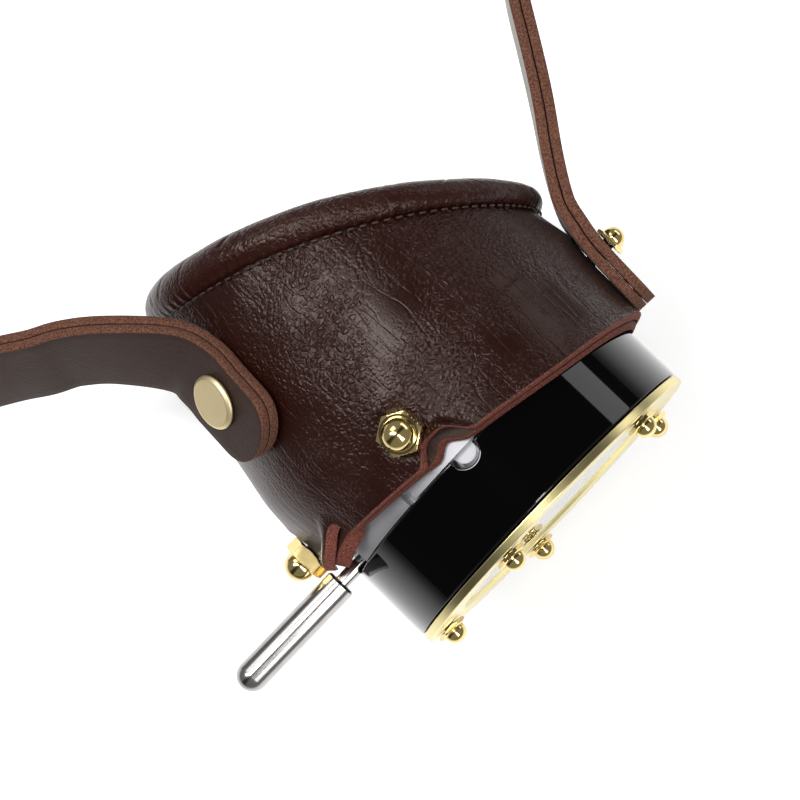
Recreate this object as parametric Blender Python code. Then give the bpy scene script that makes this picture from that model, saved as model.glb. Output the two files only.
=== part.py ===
"""A leather eye cup that carries a black barrel, a lens and a working iris, with a strap that closes behind the head.

The optical axis is Y: the front looks towards -Y and the eye sits at +Y. +X is the nose side, -X the temple side
and +Z the side that faces up when the piece lies on a table. The origin is the centre of the lens's front face.
All sizes are in metres. Angles round the optical axis start at +X and rise towards +Z.
"""

import math

import bmesh
import bpy
from mathutils import Matrix, Vector

# Fits
SEAT_GAP = 0.0003
THREAD_GAP = 0.00015
SCREW_CLEARANCE = 0.0003
CUT_OVERRUN = 0.001
MERGE_WITHIN = 0.000001

# Lens and bezel
BARREL_RADIUS = 0.031
BEZEL_WIDTH = 0.0093
LENS_RECESS = 0.0005
BEZEL_THICKNESS = 0.0015
LENS_THICKNESS = BEZEL_THICKNESS - LENS_RECESS
BEZEL_BEVEL = 0.0007
BOLT_INSET = 0.004
BOLT_COUNT = 5
FIRST_BOLT_DEG = 41.0
STUD_RADIUS = 0.0011

# Barrel
BARREL_LENGTH = 0.0148
BARREL_WALL = 0.0021
FLANGE_THICKNESS = 0.0025
FLANGE_LIP = 0.0011
NOTCH_RADIUS = 0.0029
NOTCH_DEGREES = (17.0, 47.5, 97.0, 263.0, 312.5, 343.0)

# Iris housing
COLLAR_STEP = 0.001
SPIGOT_WALL = 0.0012
HOUSING_TAIL = 0.0042
STOP_PLATE_DEPTH = 0.0055
STOP_PLATE_THICKNESS = 0.0012
STOP_OVERHANG = 0.0002
SLOT_WIDTH = 0.0018
SLOT_DEGREES = (121.0, 301.0)
WINDOW_MARGIN = 0.00035
WINDOW_LEAD_DEG = 19.0
WINDOW_TRAIL_DEG = 4.5

# Iris blades
BLADE_COUNT = 8
BLADE_THICKNESS = 0.00015
BLADE_PITCH = 0.00035
BLADE_INSET = 0.005
BLADE_WIDTH = 0.0069
BLADE_SPAN_DEG = 110.0
BLADE_SWING_DEG = 28.0
PIVOT_INSET = 0.0038
PIVOT_PIN_RADIUS = 0.0007
DRIVE_ARM = 0.0058
DRIVE_PIN_RADIUS = 0.0006
PIN_MARGIN = 0.0008
PIN_SINK = 0.0001
PIN_REACH = 0.0008
PIVOT_BOSS_START_DEG = -130.0
DRIVE_BOSS_START_DEG = -20.0
BOSS_TURN_DEG = 120.0

# Cam ring and its retaining ring
LEVER_TURN_DEG = 56.0
CAM_WIDTH = 0.0061
CAM_THICKNESS = 0.0062
GROOVE_DEPTH = 0.0016
GROOVE_CLEARANCE = 0.00018
RETAINER_THICKNESS = 0.001
RETAINER_WIDTH = 0.0026
RETAINER_BITE = 0.0009
RETAINER_GAP_DEG = 16.0

# Lever
LEVER_DEG = 180.0
LEVER_INSET = 0.0041
STEM_RADIUS = 0.00135
STEM_GRIP = 0.0026
HANDLE_RADIUS = 0.0028
HANDLE_STAND_OFF = 0.0006
HANDLE_LENGTH = 0.025
HANDLE_BEVEL = 0.0004
HANDLE_BORE_DEPTH = 0.012

# Screws and acorn nuts of the cup
SCREW_Y = 0.025
SCREW_RADIUS = 0.0015
SCREW_HEAD_RADIUS = 0.0026
SCREW_HEAD_HEIGHT = 0.0015
SCREW_SLOT_WIDTH = 0.0007
SCREW_SLOT_DEPTH = 0.0006
SCREW_CROWN_SHARE = 0.72
CUP_NUT_DEGREES = (104.0, 180.0, 255.0)
CUP_NUT_FLATS = 0.007
CUP_NUT_HEX_HEIGHT = 0.0028
CUP_NUT_DOME_RADIUS = 0.0028
STRAP_NUT_DEG = 3.0
SMALL_NUT_FLATS = 0.005
SMALL_NUT_HEX_HEIGHT = 0.0009
SMALL_NUT_DOME_RADIUS = 0.002
NUT_DOME_LIFT = 0.0003
NUT_BORE_SHARE = 0.45

# Leather cup
LEATHER = 0.0015
LAYER_GAP = 0.0003
CUP_FRONT_FLARE = 0.00115
CUP_CLAMP_FLARE = 0.0017
FLARE_START_COS = -0.35
FLARE_FULL_COS = 0.45
EDGE_MIDDLE_Y = 0.01745
EDGE_TILT = 0.0046
EDGE_DIP = 0.0004
EDGE_DIP_DEG = 62.0
EDGE_DIP_SPREAD_DEG = 20.0
LINING_LEAD = 0.0007
BULGE_HEIGHT = 0.0017
BULGE_DEG = 94.5
BULGE_SPREAD_DEG = 3.2
CURL_DEG = 99.0
CURL_SPREAD_DEG = 6.0
OUTER_CURL = 0.0032
LINING_CURL = 0.0021
FLAP_HEIGHT = 0.0024
FLAP_DEG = 155.0
FLAP_SPREAD_DEG = 6.0
WAVE_DEPTH = 0.0022

# Eye rim
RIM_CENTRE_X = 0.0062
RIM_CENTRE_Y = 0.0563
RIM_TURN_DEG = 29.3
RIM_HALF_LENGTH = 0.0323
RIM_HALF_HEIGHT = 0.030
RIM_ARCH = 0.0032
ROLL_RADIUS = 0.003
ROLL_HEIGHT = 0.003
ROLL_TAPER = 0.0007
ROLL_OVERHANG = 0.002
WALL_BELLY = 0.0023
BELLY_EVEN_SHARE = 0.65
BELLY_START_SHARE = 0.055

# Straps
STRAP_LEATHER = 0.0018
STRAP_WIDTH = 0.015
LOOP_HALF_WIDTH = 0.088
LOOP_BACK_Y = 0.225
LEFT_STRAP_DEG = 143.0
LEFT_RIVET_Y = 0.0512
LEFT_TURN_DEG = 17.0
LEFT_TIP_LENGTH = 0.0115
LEFT_HOLD_LENGTH = 0.006
RIGHT_TIP_LENGTH = 0.012
RIGHT_LEAN_DEG = -3.0
STRAP_STAND_OFF = 0.0004
STRAP_TIP_RADIUS = 0.007
STRAP_STEP = 0.009
STRAP_BEND_STEP = 0.0036
STRAP_BEND_LENGTH = 0.06

# Rivet of the left strap
RIVET_CAP_RADIUS = 0.0048
RIVET_CAP_HEIGHT = 0.0009
RIVET_POST_RADIUS = 0.0014
RIVET_CAP_STAND_OFF = 0.0007
RIVET_BACK_SHARE = 0.8
RIVET_CROWN_SHARE = 0.88
RIVET_EDGE_SHARE = 0.5

# Buckle
BAR_RADIUS = 0.001
FRAME_THICKNESS = 0.002
FRAME_REACH = 0.0135
FRAME_RAIL = 0.0025
FRAME_EAR_RADIUS = 0.0021
FRAME_RISE_DEG = 15.0
FOLD_TAPER = 0.009
PRONG_RADIUS = 0.0008
PRONG_EYE_WALL = 0.0009
PRONG_EYE_HEIGHT = 0.0022
PRONG_TIP_SHARE = 0.6
PRONG_SLOT_LENGTH = 0.0095
PRONG_SLOT_WIDTH = 0.003
TONGUE_LENGTH = 0.042
HOLE_LENGTH = 0.0072
HOLE_WIDTH = 0.0026
HOLE_PITCH = 0.013
HOLE_COUNT = 3
KEEPER_X = 0.024
KEEPER_WIDTH = 0.007
KEEPER_WALL = 0.0013

# Facets
TURN_STEPS = 48
CUP_STEPS = 60
ROLL_STEPS = 10
HOLE_STEPS = 12
DOME_STEPS = 12
DOME_RINGS = 4
SLOPE_STEP_SHARE = 0.05
SLOPE_STEP_DEG = 4.0
SHARP_DEG = 35.0
RETAINER_STEPS = 32

# Stations along the optical axis
BEZEL_FRONT_Y = -LENS_RECESS
BEZEL_BACK_Y = BEZEL_FRONT_Y + BEZEL_THICKNESS
BARREL_FRONT_Y = BEZEL_BACK_Y + SEAT_GAP
BARREL_BACK_Y = BARREL_FRONT_Y + BARREL_LENGTH
FLANGE_BACK_Y = BARREL_FRONT_Y + FLANGE_THICKNESS
STOP_FRONT_Y = FLANGE_BACK_Y + STOP_PLATE_DEPTH
STOP_BACK_Y = STOP_FRONT_Y + STOP_PLATE_THICKNESS
FIRST_BLADE_Y = STOP_BACK_Y + SEAT_GAP
LAST_BLADE_Y = FIRST_BLADE_Y + (BLADE_COUNT - 1) * BLADE_PITCH
CAM_FRONT_Y = LAST_BLADE_Y + BLADE_THICKNESS + SEAT_GAP
CAM_BACK_Y = CAM_FRONT_Y + CAM_THICKNESS
LEVER_Y = CAM_FRONT_Y + LEVER_INSET
RETAINER_FRONT_Y = CAM_BACK_Y + SEAT_GAP
RETAINER_BACK_Y = RETAINER_FRONT_Y + RETAINER_THICKNESS
COLLAR_Y = BARREL_BACK_Y + SEAT_GAP
HOUSING_BACK_Y = SCREW_Y + HOUSING_TAIL

# Radii that follow from the fits
LENS_RADIUS = BARREL_RADIUS - BEZEL_WIDTH
BEZEL_BORE_RADIUS = LENS_RADIUS + SEAT_GAP
BOLT_CIRCLE_RADIUS = BARREL_RADIUS - BOLT_INSET
BARREL_BORE_RADIUS = BARREL_RADIUS - BARREL_WALL
SPIGOT_RADIUS = BARREL_BORE_RADIUS - SEAT_GAP
HOUSING_RADIUS = BARREL_RADIUS - COLLAR_STEP
HOUSING_BORE_RADIUS = SPIGOT_RADIUS - SPIGOT_WALL
PIVOT_CIRCLE_RADIUS = HOUSING_BORE_RADIUS - PIVOT_INSET
BLADE_OUTER_RADIUS = HOUSING_BORE_RADIUS - BLADE_INSET
BLADE_INNER_RADIUS = BLADE_OUTER_RADIUS - BLADE_WIDTH
STOP_RADIUS = BLADE_INNER_RADIUS - STOP_OVERHANG
CAM_RADIUS = HOUSING_BORE_RADIUS - SEAT_GAP
CAM_INNER_RADIUS = CAM_RADIUS - CAM_WIDTH
RETAINER_RADIUS = HOUSING_BORE_RADIUS + RETAINER_BITE - SEAT_GAP
CUP_THICKNESS = 2 * LEATHER + LAYER_GAP
CUP_SNUG_RADIUS = HOUSING_RADIUS + SEAT_GAP + CUP_THICKNESS
HANDLE_START = CUP_SNUG_RADIUS + HANDLE_STAND_OFF
HANDLE_END = HANDLE_START + HANDLE_LENGTH
STRAP_THICKNESS = 2 * STRAP_LEATHER + LAYER_GAP
NUT_SEAT_RADIUS = CUP_SNUG_RADIUS + SEAT_GAP
BAR_HOLE_RADIUS = BAR_RADIUS + THREAD_GAP
FOLD_OFFSET = BAR_RADIUS + SEAT_GAP + STRAP_LEATHER / 2
LAYER_OFFSET = (STRAP_LEATHER + LAYER_GAP) / 2

FRAME_WINDOW_HALF = STRAP_WIDTH / 2 + 2 * SEAT_GAP
FRAME_HALF_HEIGHT = FRAME_WINDOW_HALF + FRAME_RAIL

# The piece rests on its lowest acorn nut, on the lower edges of the straps and on the side of the buckle
CUP_NUT_DOME_CENTRE = NUT_SEAT_RADIUS + CUP_NUT_HEX_HEIGHT + NUT_DOME_LIFT
REST_Z = CUP_NUT_DOME_CENTRE * math.sin(math.radians(CUP_NUT_DEGREES[-1])) - CUP_NUT_DOME_RADIUS
STRAP_REST_Z = REST_Z + STRAP_WIDTH / 2
BACK_Z = REST_Z + FRAME_HALF_HEIGHT

# Shares of the strap's route, from its fastener on: the way out to the loop's half width, the way back to the
# loop's depth, the drop to the table and the lean
LEFT_ROUTE_SHARES = (
    (0.0202, 0.0335, 0.02, 0.92),
    (0.1269, 0.0860, 0.06, 0.78),
    (0.2170, 0.1176, 0.10, 0.75),
    (0.3306, 0.1465, 0.15, 0.75),
    (0.7228, 0.2680, 0.42, 0.6),
    (0.9792, 0.4896, 0.80, 0.25),
    (0.9169, 0.7314, 0.975, 0.0),
    (0.6674, 0.9127, 0.997, 0.0),
    (0.3902, 0.9866, 0.96, 0.0),
)
RIGHT_ROUTE_SHARES = (
    (0.0149, 0.0303, 0.0, 0.0),
    (0.0393, 0.0505, 0.01, 0.0),
    (0.1211, 0.0850, 0.03, 0.5),
    (0.2516, 0.1319, 0.05, 1.0),
    (0.4048, 0.1920, 0.10, 1.0),
    (0.7563, 0.3340, 0.35, 0.9),
    (0.9826, 0.5275, 0.74, 0.4),
    (0.9217, 0.7525, 0.97, 0.0),
    (0.5823, 0.9269, 0.994, 0.0),
    (0.2342, 0.9888, 0.945, 0.0),
)
BACK_FLAT_SHARE = 0.36
# The tongue's way through the buckle: shares of the frame's reach, what it lies on there, and share of that height
TONGUE_SHARES = (
    (1.75, "level", 1.0),
    (1.3, "level", 1.0),
    (0.85, "level", 1.5),
    (0.22, "bar", 1.0),
    (-0.12, "bar", 1.0),
    (-0.85, "strap", 1.02),
    (-1.4, "strap", 1.0),
)
TIP_SHARES = ((0.0, 0.42), (0.10, 0.62), (0.32, 0.84), (0.62, 0.97), (1.0, 1.0))


def polar(radius, degrees, y=0.0):
    """The point at this radius and angle round the optical axis."""
    angle = math.radians(degrees)
    return Vector((radius * math.cos(angle), y, radius * math.sin(angle)))


def smooth_step(share):
    share = min(max(share, 0.0), 1.0)
    return share * share * (3 - 2 * share)


def bell(degrees, centre, spread):
    """A bump of height 1 at the centre angle."""
    away = (degrees - centre + 180.0) % 360.0 - 180.0
    return math.exp(-((away / spread) ** 2))


# Helpers that make meshes and objects


def clear_scene():
    for obj in list(bpy.data.objects):
        bpy.data.objects.remove(obj, do_unlink=True)


def finish_of(name, colour, roughness, metallic):
    """A material of one colour, given as sRGB hex."""
    made = bpy.data.materials.new(name)
    made.use_nodes = True
    shader = made.node_tree.nodes["Principled BSDF"]
    channels = [int(colour[i : i + 2], 16) / 255 for i in (0, 2, 4)]
    linear = [c / 12.92 if c <= 0.04045 else ((c + 0.055) / 1.055) ** 2.4 for c in channels]
    shader.inputs["Base Color"].default_value = (*linear, 1.0)
    shader.inputs["Roughness"].default_value = roughness
    shader.inputs["Metallic"].default_value = metallic
    made.diffuse_color = (*linear, 1.0)
    return made


def mesh_from(name, bm, smooth=True):
    bmesh.ops.recalc_face_normals(bm, faces=bm.faces)
    mesh = bpy.data.meshes.new(name)
    bm.to_mesh(mesh)
    bm.free()
    if smooth:
        mesh.shade_smooth()
        mesh.set_sharp_from_angle(angle=math.radians(SHARP_DEG))
    return mesh


def add_object(name, mesh, finish, location=(0.0, 0.0, 0.0), rotation=None):
    obj = bpy.data.objects.new(name, mesh)
    bpy.context.collection.objects.link(obj)
    obj.location = location
    if rotation is not None:
        obj.rotation_euler = rotation.to_euler()
    if finish is not None and not mesh.materials:
        mesh.materials.append(finish)
    return obj


def cutter(name, bm):
    """A helper that cuts or joins and isn't part of the object."""
    obj = add_object(name, mesh_from(name, bm, smooth=False), None)
    obj.hide_render = True
    obj.display_type = "WIRE"
    return obj


def boolean(obj, tool, operation):
    step = obj.modifiers.new(tool.name, "BOOLEAN")
    step.operation = operation
    step.solver = "EXACT"
    step.object = tool
    return obj


def cut(obj, tool):
    return boolean(obj, tool, "DIFFERENCE")


def baked_mesh(obj, name):
    """The mesh that the modifiers give, so that several objects can share it."""
    bpy.context.view_layer.update()
    graph = bpy.context.evaluated_depsgraph_get()
    mesh = bpy.data.meshes.new_from_object(obj.evaluated_get(graph))
    mesh.name = name
    mesh.shade_smooth()
    mesh.set_sharp_from_angle(angle=math.radians(SHARP_DEG))
    for modifier in obj.modifiers:
        bpy.data.objects.remove(modifier.object, do_unlink=True)
    bpy.data.objects.remove(obj, do_unlink=True)
    return mesh


def turned(profile, closed=True, steps=TURN_STEPS, bm=None):
    """A profile of (radius, height) points spun round the Y axis. An open profile starts and ends on the axis."""
    bm = bm or bmesh.new()
    verts = [bm.verts.new((radius, height, 0.0)) for radius, height in profile]
    pairs = list(zip(verts, verts[1:]))
    if closed:
        pairs.append((verts[-1], verts[0]))
    edges = [bm.edges.new(pair) for pair in pairs]
    bmesh.ops.spin(
        bm,
        geom=verts + edges,
        cent=(0.0, 0.0, 0.0),
        axis=(0.0, 1.0, 0.0),
        angle=2 * math.pi,
        steps=steps,
        use_merge=True,
    )
    bmesh.ops.remove_doubles(bm, verts=bm.verts, dist=MERGE_WITHIN)
    return bm


def swept(sections, closed, bm=None, turn_at=None):
    """Joins rings of points into one skin. Open sweeps get a cap at each end.

    A section that goes out and comes back turns at the point turn_at. Its faces are then split along the same
    diagonal on both sides, so that two skins that follow each other closely keep their gap.
    """
    bm = bm or bmesh.new()
    rings = [[bm.verts.new(point) for point in section] for section in sections]
    count = len(rings[0])
    pairs = list(zip(rings, rings[1:]))
    if closed:
        pairs.append((rings[-1], rings[0]))
    for first, second in pairs:
        for i in range(count):
            j = (i + 1) % count
            if turn_at is None:
                bm.faces.new((first[i], first[j], second[j], second[i]))
            elif i < turn_at:
                bm.faces.new((first[i], first[j], second[j]))
                bm.faces.new((first[i], second[j], second[i]))
            else:
                bm.faces.new((first[i], first[j], second[i]))
                bm.faces.new((first[j], second[j], second[i]))
    if not closed:
        bm.faces.new(rings[0])
        bm.faces.new(list(reversed(rings[-1])))
    return bm


def extruded(outline, y_start, y_end, bm=None):
    """A flat outline of (x, z) points given thickness along Y."""
    front = [Vector((x, y_start, z)) for x, z in outline]
    back = [Vector((x, y_end, z)) for x, z in outline]
    return swept([front, back], closed=False, bm=bm)


def rod(radius, start, end, steps=HOLE_STEPS, bm=None, end_radius=None):
    """A round rod or hole from one point to another."""
    start, end = Vector(start), Vector(end)
    turn = (end - start).to_track_quat("Z", "Y").to_matrix()
    tip_radius = radius if end_radius is None else end_radius
    rings = []
    for centre, ring_radius in ((start, radius), (end, tip_radius)):
        ring = []
        for i in range(steps):
            angle = 2 * math.pi * i / steps
            flat = Vector((ring_radius * math.cos(angle), ring_radius * math.sin(angle), 0.0))
            ring.append(centre + turn @ flat)
        rings.append(ring)
    return swept(rings, closed=False, bm=bm)


def block(low, high, bm=None, turn=None):
    """A box between two corners, turned about the origin if asked."""
    corners = [(x, z) for x, z in ((low[0], low[2]), (high[0], low[2]), (high[0], high[2]), (low[0], high[2]))]
    front = [Vector((x, low[1], z)) for x, z in corners]
    back = [Vector((x, high[1], z)) for x, z in corners]
    if turn is not None:
        front = [turn @ point for point in front]
        back = [turn @ point for point in back]
    return swept([front, back], closed=False, bm=bm)


def arc_block(inner, outer, y_start, y_end, start_deg, end_deg, steps, bm=None):
    """Part of a square-edged ring round the optical axis."""
    sections = []
    for i in range(steps + 1):
        degrees = start_deg + (end_deg - start_deg) * i / steps
        sections.append(
            [
                polar(inner, degrees, y_start),
                polar(outer, degrees, y_start),
                polar(outer, degrees, y_end),
                polar(inner, degrees, y_end),
            ]
        )
    return swept(sections, closed=False, bm=bm)


def outward(degrees):
    """The turn that points a fastener's own Z axis away from the optical axis."""
    return polar(1, degrees).to_track_quat("Z", "Y")


# Front: lens, bezel, barrel


def bolt_degrees():
    return [FIRST_BOLT_DEG + 360.0 * i / BOLT_COUNT for i in range(BOLT_COUNT)]


def make_lens(finish):
    profile = [(0, 0), (LENS_RADIUS, 0), (LENS_RADIUS, LENS_THICKNESS), (0, LENS_THICKNESS)]
    return add_object("lens", mesh_from("lens", turned(profile, closed=False)), finish)


def make_bezel(finish):
    profile = [
        (BEZEL_BORE_RADIUS + BEZEL_BEVEL, BEZEL_FRONT_Y),
        (BARREL_RADIUS, BEZEL_FRONT_Y),
        (BARREL_RADIUS, BEZEL_BACK_Y),
        (BEZEL_BORE_RADIUS, BEZEL_BACK_Y),
        (BEZEL_BORE_RADIUS, BEZEL_FRONT_Y + BEZEL_BEVEL),
    ]
    obj = add_object("bezel_ring", mesh_from("bezel_ring", turned(profile)), finish)
    holes = bmesh.new()
    for degrees in bolt_degrees():
        start = polar(BOLT_CIRCLE_RADIUS, degrees, BEZEL_FRONT_Y - CUT_OVERRUN)
        end = polar(BOLT_CIRCLE_RADIUS, degrees, BEZEL_BACK_Y + CUT_OVERRUN)
        rod(STUD_RADIUS + SCREW_CLEARANCE, start, end, bm=holes)
    return cut(obj, cutter("bezel_holes", holes))


def make_barrel(finish):
    lip_radius = LENS_RADIUS - FLANGE_LIP
    profile = [
        (lip_radius, BARREL_FRONT_Y),
        (BARREL_RADIUS, BARREL_FRONT_Y),
        (BARREL_RADIUS, BARREL_BACK_Y),
        (BARREL_BORE_RADIUS, BARREL_BACK_Y),
        (BARREL_BORE_RADIUS, FLANGE_BACK_Y),
        (lip_radius, FLANGE_BACK_Y),
    ]
    obj = add_object("barrel", mesh_from("barrel", turned(profile)), finish)
    cuts = bmesh.new()
    for degrees in bolt_degrees():
        start = polar(BOLT_CIRCLE_RADIUS, degrees, BARREL_FRONT_Y - CUT_OVERRUN)
        end = polar(BOLT_CIRCLE_RADIUS, degrees, FLANGE_BACK_Y + CUT_OVERRUN)
        rod(STUD_RADIUS + THREAD_GAP, start, end, bm=cuts)
    for degrees in NOTCH_DEGREES:
        start = polar(BARREL_BORE_RADIUS - CUT_OVERRUN, degrees, BARREL_BACK_Y)
        end = polar(BARREL_RADIUS + CUT_OVERRUN, degrees, BARREL_BACK_Y)
        rod(NOTCH_RADIUS, start, end, steps=2 * HOLE_STEPS, bm=cuts)
    return cut(obj, cutter("barrel_cuts", cuts))


# Iris housing


def window_degrees():
    """The two ends of the window that the lever swings in."""
    return LEVER_DEG - WINDOW_LEAD_DEG, LEVER_DEG + LEVER_TURN_DEG + WINDOW_TRAIL_DEG


def screws():
    """The angle and the shank radius of each screw that holds the leather."""
    return [(degrees, SCREW_RADIUS) for degrees in CUP_NUT_DEGREES] + [(STRAP_NUT_DEG, STUD_RADIUS)]


def make_housing(finish):
    groove_front, groove_back = RETAINER_FRONT_Y - SEAT_GAP, RETAINER_BACK_Y + SEAT_GAP
    groove_radius = HOUSING_BORE_RADIUS + RETAINER_BITE
    profile = [
        (STOP_RADIUS, STOP_FRONT_Y),
        (SPIGOT_RADIUS, STOP_FRONT_Y),
        (SPIGOT_RADIUS, COLLAR_Y),
        (HOUSING_RADIUS, COLLAR_Y),
        (HOUSING_RADIUS, HOUSING_BACK_Y),
        (HOUSING_BORE_RADIUS, HOUSING_BACK_Y),
        (HOUSING_BORE_RADIUS, groove_back),
        (groove_radius, groove_back),
        (groove_radius, groove_front),
        (HOUSING_BORE_RADIUS, groove_front),
        (HOUSING_BORE_RADIUS, STOP_BACK_Y),
        (STOP_RADIUS, STOP_BACK_Y),
    ]
    obj = add_object("iris_housing", mesh_from("iris_housing", turned(profile)), finish)
    cuts = bmesh.new()
    for i in range(BLADE_COUNT):
        degrees = blade_degrees(i)
        start = polar(PIVOT_CIRCLE_RADIUS, degrees, STOP_FRONT_Y - CUT_OVERRUN)
        end = polar(PIVOT_CIRCLE_RADIUS, degrees, STOP_BACK_Y + CUT_OVERRUN / 2)
        rod(PIVOT_PIN_RADIUS + THREAD_GAP, start, end, bm=cuts)
    inside, outside = HOUSING_BORE_RADIUS - CUT_OVERRUN, HOUSING_RADIUS + CUT_OVERRUN
    for degrees, radius in screws():
        rod(radius + THREAD_GAP, polar(inside, degrees, SCREW_Y), polar(outside, degrees, SCREW_Y), bm=cuts)
    half_window = STEM_RADIUS + WINDOW_MARGIN
    first, last = window_degrees()
    arc_block(inside, outside, LEVER_Y - half_window, LEVER_Y + half_window, first, last, HOLE_STEPS, bm=cuts)
    slot_half_deg = math.degrees(SLOT_WIDTH / 2 / HOUSING_RADIUS)
    slot_end = RETAINER_FRONT_Y + RETAINER_THICKNESS / 2
    slot_floor = SPIGOT_RADIUS - SEAT_GAP
    for degrees in SLOT_DEGREES:
        start, end = degrees - slot_half_deg, degrees + slot_half_deg
        arc_block(slot_floor, outside, COLLAR_Y - CUT_OVERRUN, slot_end, start, end, 2, bm=cuts)
    return cut(obj, cutter("housing_cuts", cuts))


# Iris blades, cam ring and retaining ring


def blade_degrees(index):
    return 360.0 * index / BLADE_COUNT


def turned_point(point, degrees):
    """A flat (x, z) point turned about the optical axis."""
    angle = math.radians(degrees)
    x, z = point
    return (x * math.cos(angle) - z * math.sin(angle), x * math.sin(angle) + z * math.cos(angle))


def drive_point(open_share):
    """Where a blade's drive pin is, for the blade whose pivot lies on +X. The share runs from 0, shut, to 1, open."""
    direction = math.radians(90.0 + BLADE_SWING_DEG / 2 - BLADE_SWING_DEG * open_share)
    return PIVOT_CIRCLE_RADIUS + DRIVE_ARM * math.cos(direction), DRIVE_ARM * math.sin(direction)


def blade_outline():
    """The blade with its pivot at the origin, as it lies with the iris shut."""
    span, arc_steps, boss_steps = BLADE_SPAN_DEG, 12, 5
    pivot = (PIVOT_CIRCLE_RADIUS, 0.0)
    boss = PIVOT_PIN_RADIUS + PIN_MARGIN
    drive = drive_point(1)
    drive_boss = DRIVE_PIN_RADIUS + PIN_MARGIN
    shoulder = math.degrees(math.atan2(drive[1], drive[0])) + math.degrees(drive_boss / BLADE_OUTER_RADIUS)
    points = []
    for i in range(arc_steps + 1):
        degrees = span - span * i / arc_steps
        points.append(tuple(polar(BLADE_INNER_RADIUS, degrees).xz))
    for i in range(boss_steps + 1):
        angle = math.radians(PIVOT_BOSS_START_DEG + BOSS_TURN_DEG * i / boss_steps)
        points.append((pivot[0] + boss * math.cos(angle), pivot[1] + boss * math.sin(angle)))
    for i in range(boss_steps + 1):
        angle = math.radians(DRIVE_BOSS_START_DEG + BOSS_TURN_DEG * i / boss_steps)
        points.append((drive[0] + drive_boss * math.cos(angle), drive[1] + drive_boss * math.sin(angle)))
    for i in range(arc_steps + 1):
        degrees = shoulder + (span - shoulder) * i / arc_steps
        points.append(tuple(polar(BLADE_OUTER_RADIUS, degrees).xz))
    shut = BLADE_SWING_DEG
    return [turned_point((x - pivot[0], z - pivot[1]), shut) for x, z in points]


def make_blade(index, finish):
    front = FIRST_BLADE_Y + index * BLADE_PITCH
    back = front + BLADE_THICKNESS
    place = blade_degrees(index)
    outline = [turned_point(point, place) for point in blade_outline()]
    name = f"iris_blade_{index + 1}"
    obj = add_object(name, mesh_from(name, extruded(outline, 0.0, BLADE_THICKNESS)), finish)
    obj.location = polar(PIVOT_CIRCLE_RADIUS, place, front)
    drive_x, drive_z = drive_point(0)
    drive = turned_point((drive_x - PIVOT_CIRCLE_RADIUS, drive_z), place)
    pivot_reach = front - STOP_BACK_Y + PIN_REACH
    drive_reach = CAM_FRONT_Y + PIN_REACH - back
    pins = bmesh.new()
    rod(PIVOT_PIN_RADIUS, (0, -pivot_reach, 0), (0, PIN_SINK, 0), steps=HOLE_STEPS, bm=pins)
    drive_start = (drive[0], BLADE_THICKNESS - PIN_SINK, drive[1])
    drive_end = (drive[0], BLADE_THICKNESS + drive_reach, drive[1])
    rod(DRIVE_PIN_RADIUS, drive_start, drive_end, steps=HOLE_STEPS, bm=pins)
    tool = cutter(f"{name}_pins", pins)
    tool.location = obj.location
    return boolean(obj, tool, "UNION")


def groove_outline(index):
    """The path of a drive pin as the cam ring sees it, with round ends."""
    half_width = DRIVE_PIN_RADIUS + GROOVE_CLEARANCE
    path_steps, end_steps = 14, 6
    path = []
    for i in range(path_steps + 1):
        share = i / path_steps
        path.append(Vector(turned_point(drive_point(share), -LEVER_TURN_DEG * share)))
    left, right = [], []
    for i, point in enumerate(path):
        along = (path[min(i + 1, path_steps)] - path[max(i - 1, 0)]).normalized()
        side = Vector((-along.y, along.x)) * half_width
        left.append(point + side)
        right.append(point - side)
    caps = []
    for centre, first in ((path[-1], left[-1]), (path[0], right[0])):
        start = math.atan2(first.y - centre.y, first.x - centre.x)
        cap = []
        for i in range(1, end_steps):
            angle = start - math.pi * i / end_steps
            cap.append(centre + Vector((math.cos(angle), math.sin(angle))) * half_width)
        caps.append(cap)
    outline = left + caps[0] + list(reversed(right)) + caps[1]
    return [turned_point(point, blade_degrees(index)) for point in outline]


def make_cam_ring(finish):
    profile = [
        (CAM_INNER_RADIUS, CAM_FRONT_Y),
        (CAM_RADIUS, CAM_FRONT_Y),
        (CAM_RADIUS, CAM_BACK_Y),
        (CAM_INNER_RADIUS, CAM_BACK_Y),
    ]
    obj = add_object("cam_ring", mesh_from("cam_ring", turned(profile)), finish)
    cuts = bmesh.new()
    for i in range(BLADE_COUNT):
        extruded(groove_outline(i), CAM_FRONT_Y - CUT_OVERRUN, CAM_FRONT_Y + GROOVE_DEPTH, bm=cuts)
    hole_start = polar(CAM_RADIUS - STEM_GRIP - SEAT_GAP, LEVER_DEG, LEVER_Y)
    hole_end = polar(CAM_RADIUS + CUT_OVERRUN, LEVER_DEG, LEVER_Y)
    rod(STEM_RADIUS + THREAD_GAP, hole_start, hole_end, bm=cuts)
    return cut(obj, cutter("cam_cuts", cuts))


def make_retaining_ring(finish):
    inner = RETAINER_RADIUS - RETAINER_WIDTH
    start = 90.0 + RETAINER_GAP_DEG / 2
    end = start + 360.0 - RETAINER_GAP_DEG
    bm = arc_block(inner, RETAINER_RADIUS, RETAINER_FRONT_Y, RETAINER_BACK_Y, start, end, RETAINER_STEPS)
    return add_object("retaining_ring", mesh_from("retaining_ring", bm), finish)


# Lever


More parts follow.
